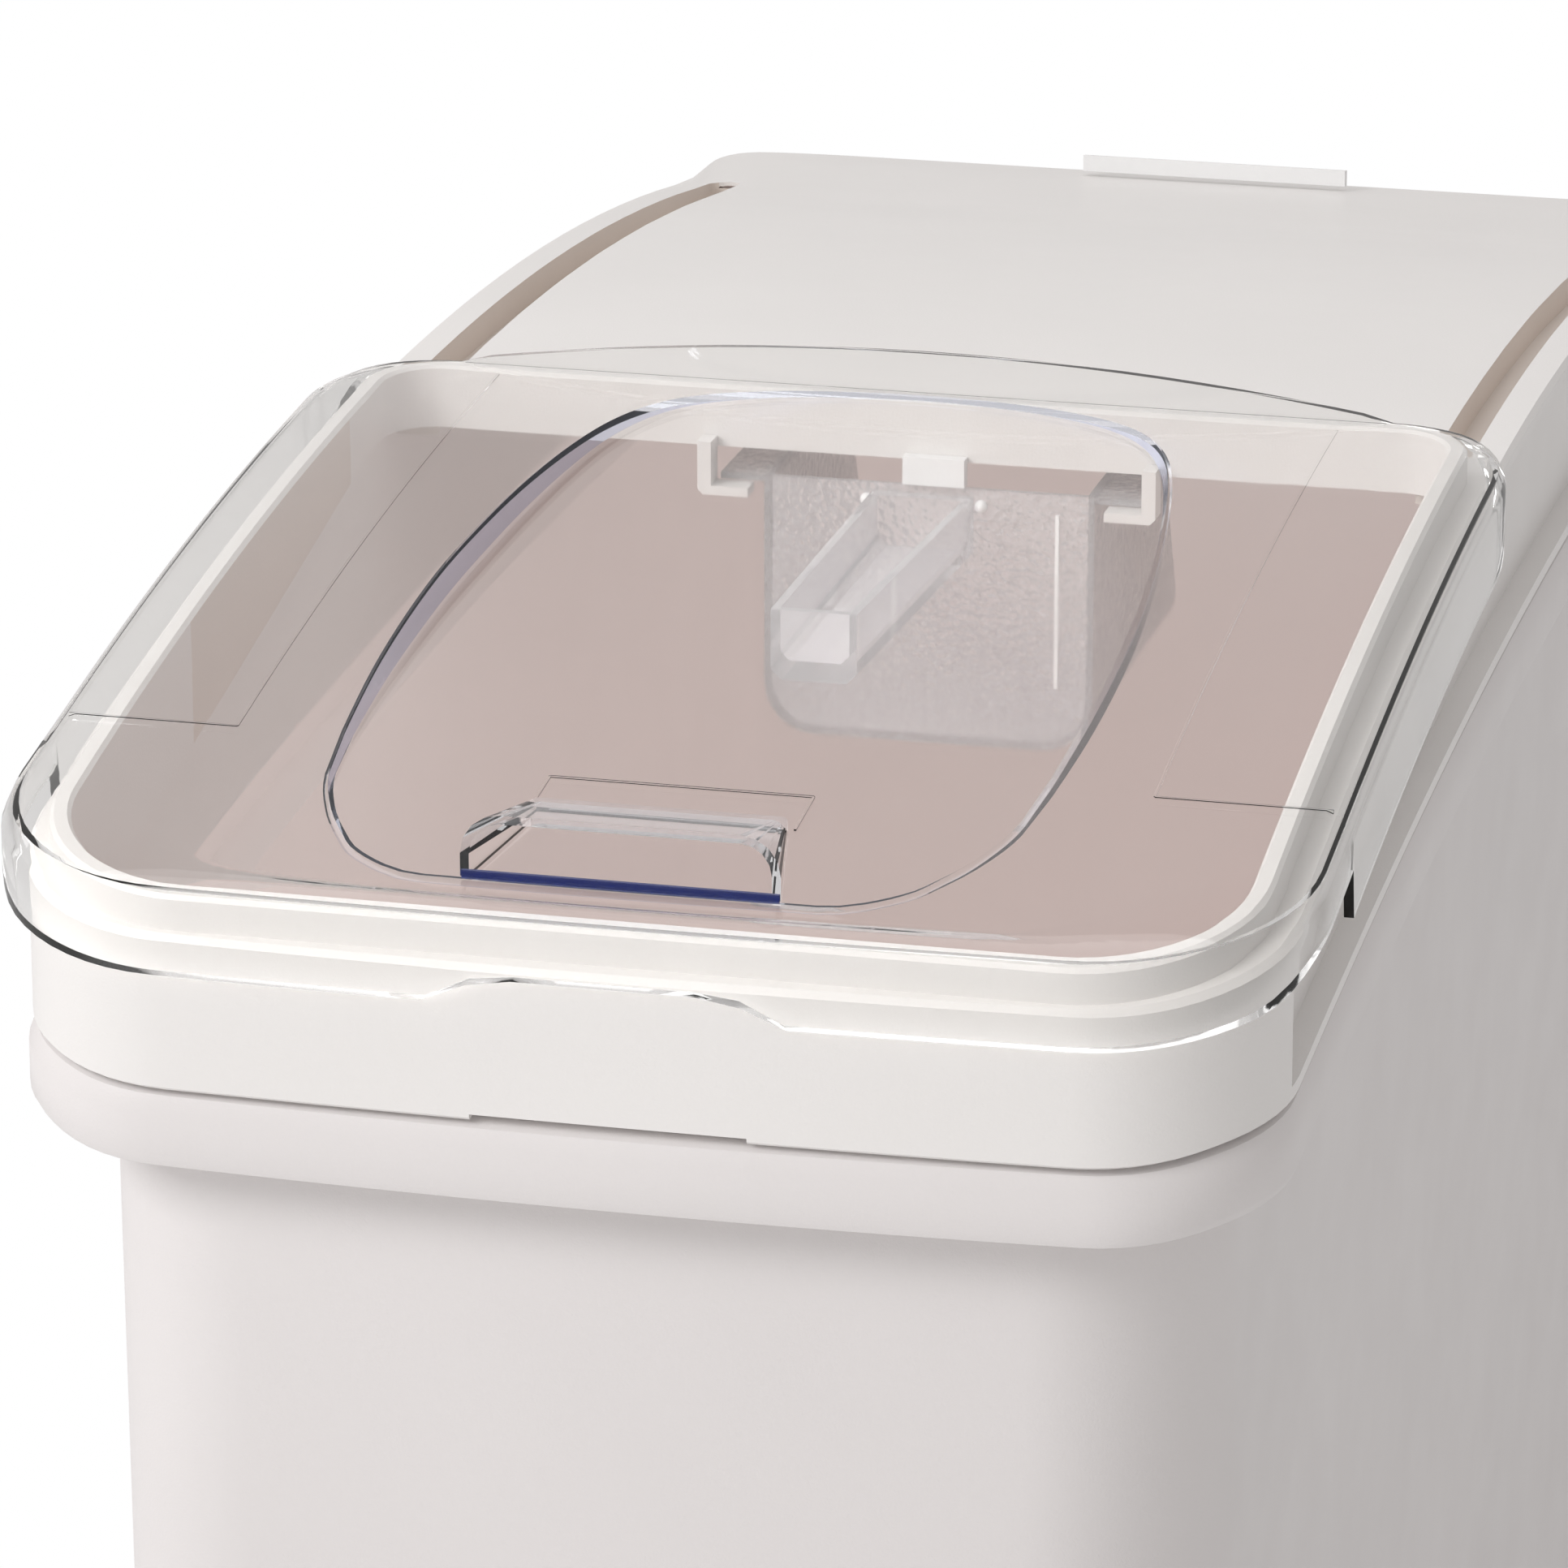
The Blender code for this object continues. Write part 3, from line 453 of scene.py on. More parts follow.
def moulded(name, dark, light, roughness, grain=0.00006):
    """Opaque moulded plastic: faint flow clouding, a fine spark-eroded grain and uneven gloss."""
    nodes = Nodes(name)
    cloud = nodes.noise(7.0, 4.0)
    nodes.link(nodes.ramp(cloud, [(0.30, dark), (0.70, light)]), nodes.shader.inputs["Base Color"])
    gloss = nodes.noise(38.0, 5.0)
    nodes.link(nodes.ranged(gloss, roughness - 0.05, roughness + 0.06), nodes.shader.inputs["Roughness"])
    waves = nodes.bump(nodes.noise(9.0, 1.5), 0.00010)
    nodes.bump(nodes.noise(1400.0, 2.0), grain, waves)
    nodes.fixed(Specular_IOR_Level=0.45, Coat_Weight=0.08, Coat_Roughness=0.25)
    return nodes.mat


def painted_inner_glow(mat, strength):
    """Painted light: a faint warm glow on the wall's inner face, standing in for daylight that soaks
    through the thin wall.
    """
    shader = mat.node_tree.nodes["Principled BSDF"]
    shader.inputs["Emission Color"].default_value = (1.0, 0.86, 0.82, 1.0)
    shader.inputs["Emission Strength"].default_value = strength


def clear_plastic(name, tint, roughness, shadow, grain=0.0, ior=1.49, milk=0.0):
    """Clear moulded plastic, with faint flow waves, rubbed spots and, if asked for, a stipple."""
    nodes = Nodes(name)
    nodes.fixed(Transmission_Weight=1.0 - milk, IOR=ior)
    low = tuple(0.985 * channel for channel in tint)
    cloud = nodes.ramp(nodes.noise(11.0), [(0.35, low), (0.65, tint)])
    nodes.link(cloud, nodes.shader.inputs["Base Color"])
    rubbed = nodes.noise(55.0, 6.0, (1, 0.3, 1))
    nodes.link(nodes.ranged(rubbed, roughness, roughness + 0.03), nodes.shader.inputs["Roughness"])
    waves = nodes.bump(nodes.noise(9.0, 1.5), 0.00025)
    if grain:
        nodes.bump(nodes.voronoi(520.0), grain, waves)
    nodes.lets_light_through(shadow)
    return nodes.mat


def plated(name, dark, light, roughness):
    """Zinc plated steel: brushed streaks, cloudy passivation and dull specks."""
    nodes = Nodes(name)
    cloud = nodes.noise(60.0, 6.0)
    nodes.link(nodes.ramp(cloud, [(0.32, dark), (0.68, light)]), nodes.shader.inputs["Base Color"])
    streaks = nodes.noise(240.0, 4.0, (1, 1, 0.08))
    gloss = nodes.ranged(streaks, roughness - 0.08, roughness + 0.14)
    nodes.link(gloss, nodes.shader.inputs["Roughness"])
    nodes.bump(streaks, 0.00003)
    nodes.fixed(Metallic=1.0)
    return nodes.mat


def rubber(name):
    nodes = Nodes(name)
    dust = nodes.noise(90.0, 6.0)
    stops = [(0.35, (0.030, 0.030, 0.032)), (0.62, (0.055, 0.054, 0.053)), (0.80, (0.115, 0.108, 0.100))]
    nodes.link(nodes.ramp(dust, stops), nodes.shader.inputs["Base Color"])
    nodes.link(nodes.ranged(nodes.noise(150.0), 0.62, 0.85), nodes.shader.inputs["Roughness"])
    nodes.bump(nodes.noise(900.0, 4.0), 0.00010)
    return nodes.mat


BIN_WHITE = moulded("bin_white_moulded", (0.720, 0.690, 0.685), (0.750, 0.720, 0.715), 0.42)
# Inside of the bin: a darker, warmer colour as painted shade, plus a painted warm glow
BIN_INSIDE_PAINTED_SHADE_AND_GLOW = moulded("bin_inside_painted_shade_and_glow", (0.66, 0.585, 0.565), (0.69, 0.615, 0.595), 0.50)
painted_inner_glow(BIN_INSIDE_PAINTED_SHADE_AND_GLOW, 0.20)
LID_WHITE = moulded("lid_white_moulded", (0.790, 0.770, 0.755), (0.815, 0.795, 0.780), 0.36)
# Painted shade: a darker, browner white for the faces inside the lid's grooves
LID_GROOVE_PAINTED_SHADE = moulded("lid_groove_painted_shade", (0.715, 0.65, 0.60), (0.745, 0.68, 0.63), 0.50)
TAB_WHITE = moulded("tab_white_moulded", (0.86, 0.86, 0.86), (0.90, 0.90, 0.90), 0.40)
DOOR_CLEAR = clear_plastic("door_clear_plastic", (0.985, 0.985, 0.98), 0.01, (0.95, 0.94, 0.93))
DOOR_EDGE = clear_plastic(
    "door_edge_plastic", (0.74, 0.78, 0.90), 0.06, (0.86, 0.87, 0.92), ior=1.05, milk=0.12
)
HOOD_CLEAR = clear_plastic(
    "hood_clear_plastic", (0.93, 0.94, 0.96), 0.02, (0.94, 0.94, 0.95), ior=1.05, milk=0.06
)
GRIP_EDGE = clear_plastic(
    "grip_edge_plastic", (0.020, 0.035, 0.20), 0.12, (0.35, 0.40, 0.62), milk=0.50
)
SCOOP_CLEAR = clear_plastic(
    "scoop_clear_plastic", (0.965, 0.965, 0.985), 0.04, (0.95, 0.94, 0.95), milk=0.22
)
SCOOP_FROST = clear_plastic(
    "scoop_frosted_plastic", (0.95, 0.94, 0.955), 0.20, (0.93, 0.91, 0.92), 0.0006, milk=0.24
)
# Painted highlight: nearly opaque white, for the glint strip and dots on the scoop
SCOOP_PAINTED_GLINT = clear_plastic(
    "scoop_painted_glint", (1.0, 1.0, 1.0), 0.10, (0.95, 0.95, 0.96), milk=0.92
)
STEEL = plated("zinc_plated_steel", (0.46, 0.46, 0.47), (0.64, 0.645, 0.66), 0.34)
BOLT = plated("bright_bolt_steel", (0.42, 0.42, 0.43), (0.58, 0.58, 0.60), 0.27)
CORE = moulded("grey_wheel_plastic", (0.085, 0.088, 0.095), (0.110, 0.113, 0.120), 0.45)
TYRE = rubber("tyre_rubber_dusty")


# Bin body

def bin_outline(inset):
    return box_outline(
        RIM_HALF - inset, -0.366 + inset, RIM_REAR - inset, 0.043, 0.043, bow=0.0055
    )


def make_bin(mat):
    """Bin shell, from the outer floor up over the rolled rim and down to the inner floor."""
    base = RIM_INSET + TAPER
    inner = RIM_INSET + WALL
    bottom = BODY_BOTTOM
    sections = [
        (base + 0.0090, level(bottom)),
        (base + 0.0026, level(bottom + 0.0020)),
        (base, level(bottom + 0.0085)),
        (RIM_INSET, above(seam, -RIM_DEPTH)),
        (0.0040, above(seam, -RIM_DEPTH)),
        (0.0011, above(seam, -RIM_DEPTH + 0.0012)),
        (0.0, above(seam, -RIM_DEPTH + 0.0040)),
        (0.0, above(seam, -0.0060)),
        (0.0017, above(seam, -0.0018)),
        (0.0058, above(seam, 0.0)),
        (RIM_WALL, above(seam, 0.0)),
        (RIM_WALL, above(seam, -RIM_DEPTH + WALL)),
        (inner, above(seam, -RIM_DEPTH + WALL)),
        (base + WALL, level(bottom + 0.0120)),
        (base + WALL + 0.0085, level(bottom + WALL)),
    ]
    rings = [ring(bin_outline(inset), height) for inset, height in sections]
    # The inner bands take the second material, with painted shade and a painted glow
    painted_shade_bands = (10, 11, 12, 13)
    shell = loft("fine_bin", rings, mat, marked=painted_shade_bands)
    shell.data.materials.append(BIN_INSIDE_PAINTED_SHADE_AND_GLOW)
    return shell


# Lid frame

def lid_outline(inset):
    return box_outline(LID_HALF - inset, LID_FRONT + inset, LID_REAR - inset, 0.046, 0.042, bow=0.0035)


def opening_outline(grow):
    return box_outline(
        OPEN_HALF + grow, OPEN_FRONT - grow, OPEN_REAR + grow,
        OPEN_RADIUS_FRONT + grow, OPEN_RADIUS_REAR + grow, short=True,
    )


def pocket_height(x, y):
    """Underside of the lid: under the deck at the rear, just above the coaming's edge elsewhere."""
    share = ease(y, -0.063, -0.047)
    return (skirt_low(y) + 0.003) * (1 - share) + (deck(y) - DECK_WALL) * share


def make_lid(mat):
    """Arched lid: coaming round the opening, deck, side wall, lower lip and underside."""
    edge = lid_outline(0.0012)
    coaming = opening_outline(0.0052)
    rings = [
        ring(opening_outline(0.0), lambda x, y: skirt_low(y)),
        ring(opening_outline(0.0), above(arch, -0.0010)),
        ring(opening_outline(0.0010), above(arch, 0.0)),
        ring(opening_outline(0.0042), above(arch, 0.0)),
        ring(coaming, above(arch, -0.0010)),
        ring(coaming, above(deck, 0.0)),
    ]
    for share in (0.1, 0.2, 0.3, 0.4, 0.5, 0.6, 0.7, 0.8, 0.9):
        rings.append(ring(blend(coaming, edge, share), above(deck, 0.0)))
    lip_outer = box_outline(0.1499, -0.3582, 0.3667, 0.0430, 0.0430, bow=0.0055)
    lip_inner = box_outline(0.1470, -0.3553, 0.3638, 0.0405, 0.0405, bow=0.0055)
    inner = box_outline(0.1470, -0.3634, 0.3638, 0.0386, 0.0330)
    web = box_outline(
        OPEN_HALF + 0.0013, OPEN_FRONT - 0.0013, OPEN_REAR + 0.0028, 0.0385, 0.0170, short=True
    )
    rings += [
        ring(edge, above(deck, 0.0)),
        ring(lid_outline(0.0), above(deck, -0.0014)),
        ring(lid_outline(0.0), above(seam, SEAM_GAP + 0.0008)),
        ring(lid_outline(0.0008), above(seam, SEAM_GAP)),
        ring(lip_outer, above(seam, SEAM_GAP)),
        ring(lip_outer, above(seam, -LIP_DEPTH)),
        ring(lip_inner, above(seam, -LIP_DEPTH)),
        ring(inner, pocket_height),
    ]
    for share in (0.25, 0.5, 0.75):
        rings.append(ring(blend(inner, web, share), pocket_height))
    rings.append(ring(web, pocket_height))
    rings.append(ring(web, lambda x, y: skirt_low(y) + 0.0004))
    lid = loft("fine_lid", rings, mat, closed=True)
    for side in (-1, 1):
        add_groove(lid, side, mat)
    for side in (-1, 1):
        cut_recess(lid, side, mat)
    cut_notch(lid, mat)
    weld(lid, 0.00002)
    shade_grooves(lid)
    return lid


def add_groove(lid, side, mat):
    edges = sorted((side * (GROOVE_IN - 0.003), side * (GROOVE_OUT + 0.0012)))
    trough = arched_bar(
        "add_trough", *edges, -0.0468, 0.3030,
        lambda y: arch(y) - GROOVE_DROP - DECK_WALL,
        lambda y: arch(y) - DECK_DROP - 0.0012, mat, steps=60,
    )
    boolean(lid, trough, "UNION")
    middle = side * (GROOVE_IN + GROOVE_OUT) / 2
    half = (GROOVE_OUT - GROOVE_IN) / 2
    boolean(lid, grooved_slot("cut_groove", middle, half, mat), "DIFFERENCE")


def shade_grooves(lid):
    """Second material, darker and browner as painted shade, for the faces inside the two grooves."""
    lid.data.materials.append(LID_GROOVE_PAINTED_SHADE)
    for face in lid.data.polygons:
        x, y, z = face.center
        between = GROOVE_IN - 0.0002 < abs(x) < GROOVE_OUT + 0.0002
        if between and arch(y) - GROOVE_DROP - 0.0002 < z < deck(y) - 0.0012:
            face.material_index = 1


def grooved_slot(name, middle, half_width, mat):
    """Rounded-end slot along the arch, built from cross strips so that its floor is curved."""
    stations = []
    for i in range(60):
        y = GROOVE_FRONT + (GROOVE_REAR - half_width - GROOVE_FRONT) * i / 59
        stations.append((y, half_width))
    for angle in (10, 20, 30, 40, 50, 60, 70, 80, 87):
        reach = half_width * math.sin(math.radians(angle))
        stations.append((GROOVE_REAR - half_width + reach, half_width * math.cos(math.radians(angle))))
    points = []
    for y, half in stations:
        low, high = arch(y) - GROOVE_DROP, arch(y) + 0.006
        points += [
            (middle - half, y, low), (middle + half, y, low),
            (middle + half, y, high), (middle - half, y, high),
        ]
    last = len(stations) - 1
    faces = [(0, 1, 2, 3), tuple(4 * last + i for i in range(4))]
    for i in range(last):
        faces += band_faces(4, 4 * i, 4 * i + 4)
    return mesh_object(name, points, faces, mat)


def cut_recess(lid, side, mat):
    """Shallow recess along the lid's side."""
    cutter = arched_bar(
        "cut_recess", *sorted((side * RECESS_IN, side * 0.1700)), RECESS_FRONT, RECESS_REAR,
        lambda y: seam(y) + SEAM_GAP + 0.0040, lambda y: arch(y) - 0.0130, mat, steps=60,
    )
    boolean(lid, cutter, "DIFFERENCE")


def cut_notch(lid, mat):
    """Thin slot in the middle of the lid's front lower edge."""
    edge = seam(LID_FRONT)
    low = (-NOTCH_HALF, LID_FRONT - 0.0130, edge - 0.001)
    high = (NOTCH_HALF, LID_FRONT + 0.0002, edge + 0.0015)
    boolean(lid, box("cut_notch", low, high, mat), "DIFFERENCE")


# Clear door

def door_half_outline(inset):
    """The door's outline, with its side points spread over the door's own length."""
    half, front, rear = DOOR_HALF - inset, DOOR_FRONT + inset, DOOR_REAR - inset * REAR_SHARE
    radius_front, radius_rear = DOOR_RADIUS_FRONT, DOOR_RADIUS_REAR
    points = [(0.0, front)]
    points += line(points[-1], (half - radius_front, front), FRONT_STEPS)
    points += corner(half - radius_front, front + radius_front, radius_front, -90)
    points += line(points[-1], (half, SKIRT_STEP - 0.0010), 1)
    points += line(points[-1], (half, SKIRT_STEP + 0.0010), 1)
    points += line(points[-1], (half, rear - radius_rear), SIDE_STEPS - 1)
    points += corner(half - radius_rear, rear - radius_rear, radius_rear, 0)
    points += line(points[-1], (0.0, rear), TAIL_STEPS)
    return bowed(points, half, 0.0025, front)


def window_outline(grow):
    """The window's outline with one point in the direction of each point of the door's outline."""
    outer = door_half_outline(0.0)
    directions = [math.atan2(x / DOOR_HALF, (y - WINDOW_MIDDLE) / 0.165) for x, y in outer]
    angles = [math.atan2(x / WINDOW_HALF, (y - WINDOW_MIDDLE) / WINDOW_REACH) for x, y in WINDOW]
    out = []
    for x, y in (window_point(direction, angles) for direction in directions):
        length = math.hypot(x, y - WINDOW_MIDDLE)
        out.append((x + grow * x / length, y + grow * (y - WINDOW_MIDDLE) / length))
    out[0] = (0.0, out[0][1])
    out[-1] = (0.0, out[-1][1])
    return out


def window_point(direction, angles):
    """Where one direction from the window's middle meets the smooth curve through WINDOW."""
    mirrored = [(-x, y) for x, y in WINDOW]
    for i in range(len(WINDOW) - 1):
        high, low = angles[i], angles[i + 1]
        if low <= direction <= high:
            before = WINDOW[i - 1] if i > 0 else mirrored[1]
            after = WINDOW[i + 2] if i + 2 < len(WINDOW) else mirrored[-2]
            share = (high - direction) / (high - low)
            return tuple(
                spline(*values, share) for values in zip(before, WINDOW[i], WINDOW[i + 1], after)
            )
    return WINDOW[0]


def spline(a, b, c, d, t):
    """Smooth value between b and c at t, with a and d as their outer neighbours."""
    return b + 0.5 * t * (c - a + t * (2 * a - 5 * b + 4 * c - d + t * (3 * b - a - 3 * c + d)))


def edge_share(y):
    """1 where the door's edge turns down into a skirt, falling to 0 along its plain rear edge."""
    return 1 - ease(y, -0.085, -0.048)


def skirt_drop(y):
    """How far the skirt's lower edge is below the arch."""
    if y > SKIRT_STEP:
        return 0.0240 * edge_share(y) - (SHEET_RISE - SHEET) * (1 - edge_share(y))
    return 0.0110 + 0.0050 * ease(-y, 0.325, 0.352)


def skirt_edge(x, y):
    """Height of the skirt's lower edge, which is cut away in the middle of the front."""
    low = arch(y) - skirt_drop(y)
    if y < -0.36:
        low += 0.0065 * ease(0.040 - abs(x), 0.0, 0.010)
    return low


def window_rim(x, y):
    return max(sheet(y), window_plane(y) + 0.0003)


def make_door(mat):
    """Clear door: a sunk window, the sheet round it, the skirt, the rear lip and the grip."""
    bend = DOOR_FILLET
    inside = bend - SHEET
    shoulder = door_half_outline(bend)
    rim = window_outline(0.0)
    rings = [ring(window_outline(-0.0016), above(window_plane, 0.0)), ring(rim, window_rim)]
    for share in (0.33, 0.67):
        rings.append(ring(blend(rim, shoulder, share), above(sheet, 0.0)))
    rings += [
        ring(shoulder, above(sheet, 0.0)),
        lowered(door_half_outline(bend * 0.29), 0.29 * bend),
        lowered(door_half_outline(0.0), bend),
        ring(door_half_outline(0.0), skirt_edge),
        ring(door_half_outline(SHEET), skirt_edge),
        lowered(door_half_outline(SHEET), SHEET + inside, SHEET),
        lowered(door_half_outline(SHEET + inside * 0.29), SHEET + 0.29 * inside, SHEET),
        ring(door_half_outline(SHEET + inside), above(sheet, -SHEET)),
    ]
    under = window_outline(0.0014)
    for share in (0.67, 0.33):
        rings.append(ring(blend(under, door_half_outline(SHEET + inside), share), above(sheet, -SHEET)))
    rings += [
        ring(under, lambda x, y: window_rim(x, y) - SHEET),
        ring(window_outline(0.0007), above(window_plane, -SHEET)),
    ]
    window_walls = (0, 14)
    door = loft("fine_door", rings, mat, marked=window_walls)
    door.data.materials.append(DOOR_EDGE)
    boolean(door, rear_lip(mat), "UNION")
    grip = hood_solid("add_grip", 0.0, mat)
    boolean(grip, hood_solid("cut_grip", GRIP_WALL, mat), "DIFFERENCE")
    boolean(door, grip, "UNION")
    door.data.materials.append(HOOD_CLEAR)
    for face in door.data.polygons:
        x, y, z = face.center
        on_grip = abs(x) < GRIP_HALF + 0.0008 and GRIP_FRONT - 0.0010 < y < GRIP_BACK + 0.0020
        if on_grip and z > window_plane(y) + 0.0008:
            face.material_index = 2
    return door


def lowered(outline, drop, least=0.0):
    """Ring below the sheet by drop where there is a skirt, and by least along the rear edge."""
    def height(x, y):
        share = edge_share(y)
        return sheet(y) - drop * share - least * (1 - share) - 0.0006 * (1 - share) * (least == 0.0)
    return ring(outline, height)


def rear_lip(mat):
    """Low upstanding lip along the door's rear edge, highest in the middle."""
    base = sheet(DOOR_REAR) - 0.0012
    outline = [(-LIP_HALF, base), (LIP_HALF, base)]
    for i in range(1, 24):
        x = LIP_HALF * (1 - 2 * i / 24)
        outline.append((x, sheet(DOOR_REAR) + LIP_HEIGHT * (1 - (x / LIP_HALF) ** 2)))
    return prism("add_lip", outline, "y", DOOR_REAR - 0.0030, DOOR_REAR - 0.0005, mat)


def hood_outline(half, low, high, radius):
    points = [(-half, low), (half, low)]
    for i in range(5):
        angle = math.radians(90 * i / 4)
        out, up = radius * math.cos(angle), radius * math.sin(angle)
        points.append((half - radius + out, high - radius + up))
    return points + [(-x, z) for x, z in reversed(points[2:])]


def hood_solid(name, inset, mat):
    """Raised grip, open to the front: the solid, or with an inset the hollow inside it."""
    front = GRIP_FRONT - (0.004 if inset else 0.0)
    back = GRIP_BACK - inset * 2
    sink = 0.0040 if inset else 0.0012
    low_front, low_back = window_plane(front) - sink, window_plane(back) - sink
    near = hood_outline(GRIP_HALF - inset, low_front, EDGE_LEVEL + 0.0225 - inset, 0.0100 - inset)
    far = hood_outline(0.0315 - inset, low_back, EDGE_LEVEL + 0.0150 - inset * 0.9, 0.0012)
    count = len(near)
    points = [(x, front, z) for x, z in near] + [(x, back, z) for x, z in far]
    faces = [tuple(range(count)), tuple(range(count, 2 * count))] + band_faces(count, 0, count)
    return mesh_object(name, points, faces, mat)


# Scoop

def scoop_section(inset):
    """Half of a U section: from the middle of the floor out and up to the rim."""
    half, low = SCOOP_HALF - inset, SCOOP_LOW + inset
    radius = SCOOP_RADIUS - inset
    points = [(0.0, low), (half * 0.5, low)]
    for i in range(7):
        angle = math.radians(-90 + 15 * i)
        out, up = radius * math.cos(angle), radius * math.sin(angle)
        points.append((half - radius + out, low + radius + up))
    points.append((half, SCOOP_TOP - 0.020))
    return points


def make_scoop(mat):
    """Deep open scoop: a U trough closed at the handle end and open at the far end."""
    bowl = scoop_trough("fine_scoop", 0.0, mat)
    hollow = scoop_trough("cut_scoop", SCOOP_WALL, mat)
    boolean(bowl, hollow, "DIFFERENCE")
    low = EDGE_LEVEL + SCOOP_TOP - 0.0022
    for side in (-1, 1):
        x_low, x_high = sorted((SCOOP_X + side * (SCOOP_HALF - 0.0010), SCOOP_X + side * 0.0580))
        flange = box(
            "add_flange", (x_low, SCOOP_FRONT + 0.0018, low),
            (x_high, SCOOP_FRONT + 0.0600, low + 0.0018), mat,
        )
        boolean(bowl, flange, "UNION")
    boolean(bowl, handle_solid("add_handle", mat), "UNION")
    boolean(bowl, handle_channel("cut_handle", mat), "DIFFERENCE")
    return bowl


def scoop_trough(name, inset, mat):
    """The bowl's outer solid, or with an inset its hollow, which runs out of the top and far end."""
    extra = 0.006 if inset else 0.0
    start = SCOOP_FRONT + inset
    end = SCOOP_FRONT + SCOOP_LENGTH + extra
    half = scoop_section(inset)
    rim = SCOOP_TOP + extra
    loop = half + [(half[-1][0], rim), (-half[-1][0], rim)]
    loop += [(-x, z) for x, z in reversed(half[1:])]
    points = []
    for y, lean in ((start, 0.0), (start + 0.070, 0.0), (end, SCOOP_LEAN)):
        for x, z in loop:
            share = (z - SCOOP_LOW) / (SCOOP_TOP - SCOOP_LOW)
            points.append((SCOOP_X + x, y - lean * share, EDGE_LEVEL + z))
    count = len(points) // 3
    faces = [tuple(range(count)), tuple(range(2 * count, 3 * count))]
    faces += band_faces(count, 0, count) + band_faces(count, count, 2 * count)
    return mesh_object(name, points, faces, mat)


def handle_solid(name, mat):
    root, tip = (0.0140, 0.0160, -0.0030), (0.0115, 0.0115, -0.0075)
    return tapered_bar(name, root, tip, HANDLE_TIP, SCOOP_FRONT + 0.0008, mat)


def handle_channel(name, mat):
    root, tip = (0.0117, 0.0240, 0.0020), (0.0092, 0.0200, -0.0025)
    return tapered_bar(name, root, tip, HANDLE_TIP + 0.0022, SCOOP_FRONT - 0.0040, mat)


def tapered_bar(name, root, tip, y_tip, y_root, mat):
    """Bar toward the front. Each end is given as half width, top and underside."""
    points = []
    for y, (half, top, low), x in ((y_root, root, 0.0020), (y_tip, tip, -0.0040)):
        cut = half * 0.25
        right = [(half, top), (half, low + cut), (half - cut, low)]
        section = right + [(-dx, z) for dx, z in reversed(right)]
        points += [(x + dx, y, EDGE_LEVEL + z) for dx, z in section]
    faces = [tuple(range(6)), tuple(range(6, 12))] + band_faces(6, 0, 6)
    return mesh_object(name, points, faces, mat)


# Fine pieces that stand for the CAD shells

def stand_for(obj, node, body):
    shade(obj)
    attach(obj, body)
    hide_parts(node)


def build_shells():
    stand_for(make_bin(BIN_WHITE), "bin_body", "bin")
    stand_for(make_lid(LID_WHITE), "lid_frame", "lid")
    door = make_door(DOOR_CLEAR)
    add_door_lines(door)
    stand_for(door, "clear_door", "door")
    for face in door.data.polygons:
        face.use_smooth = face.material_index == 0
    scoop = make_scoop(SCOOP_FROST)
    scoop.data.materials.append(SCOOP_CLEAR)
    for face in scoop.data.polygons:
        face.material_index = 1 if face.center.y < SCOOP_FRONT - 0.0002 else 0
    stand_for(scoop, "scoop", "scoop")


def raised_line(door, x_low, x_high, y_low, y_high, surface, rise, steps):
    """Joins a fine raised line, which follows surface(y), to the door."""
    line_bar = arched_bar(
        "rib", x_low, x_high, y_low, y_high,
        lambda y: surface(y) - LINE_SINK, lambda y: surface(y) + rise, DOOR_CLEAR, steps=steps,
    )
    boolean(door, line_bar, "UNION")


def add_door_lines(door):
    """Raised lines: along each side, out to where the skirt steps, and round a blank label panel."""
    for side in (-1, 1):
        near, far = sorted((side * (SIDE_LINE - LINE_HALF), side * (SIDE_LINE + LINE_HALF)))
        raised_line(door, near, far, SKIRT_STEP, -0.0560, sheet, SHEET_LINE_RISE, 50)
        near, far = sorted((side * SIDE_LINE, side * 0.1585))
        level_here = sheet(SKIRT_STEP)
        across = box(
            "line", (near, SKIRT_STEP - LINE_HALF, level_here - LINE_SINK),
            (far, SKIRT_STEP + LINE_HALF, level_here + SHEET_LINE_RISE), DOOR_CLEAR,
        )
        boolean(door, across, "UNION")
    half, low, high = 0.0330, -0.3190, -0.3000
    for x in (-half, half):
        raised_line(door, x - LINE_HALF, x + LINE_HALF, low, high, window_plane, PANEL_LINE_RISE, 2)
    raised_line(
        door, -half, half, high - LINE_HALF, high + LINE_HALF, window_plane, PANEL_LINE_RISE, 2
    )


def build_door_trim():
    """The dark lower edge of the grip's mouth."""
    front = GRIP_FRONT - 0.0003
    half = GRIP_HALF - 0.0004
    low = window_plane(front)
    bar = box(
        "door_grip_edge", (-half, front, low - 0.0008), (half, front + 0.0012, low + 0.0016), GRIP_EDGE
    )
    shade(bar)
    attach(bar, "door")


def build_scoop_glints():
    """Painted highlights: a thin, nearly opaque white raised strip down the scoop's front plate, and a
    small white dome each side of the handle's root, standing in for glints on the scoop's edges.
    """
    x, y = SCOOP_X + SCOOP_HALF - 0.0100, SCOOP_FRONT
    # Painted highlight strip down the front plate's edge
    glint_strip = box(
        "scoop_painted_glint_strip", (x - 0.0005, y - 0.0008, EDGE_LEVEL - 0.0360),
        (x + 0.0005, y + 0.0004, EDGE_LEVEL + 0.0125), SCOOP_PAINTED_GLINT,
    )
    trim = [glint_strip]
    radius = 0.0018
    angles = [math.radians(degrees) for degrees in range(15, 180, 15)]
    ball = [(radius * math.sin(angle), -radius * math.cos(angle)) for angle in angles]
    for tag, x in (("left", -0.0135), ("right", 0.0180)):
        center = (x, y - 0.0004, EDGE_LEVEL + 0.0135)
        trim.append(turned("scoop_painted_glint_dot_" + tag, ball, "x", center, SCOOP_PAINTED_GLINT, steps=24, closed=False))
    for piece in trim:
        shade(piece, 40)
        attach(piece, "scoop")


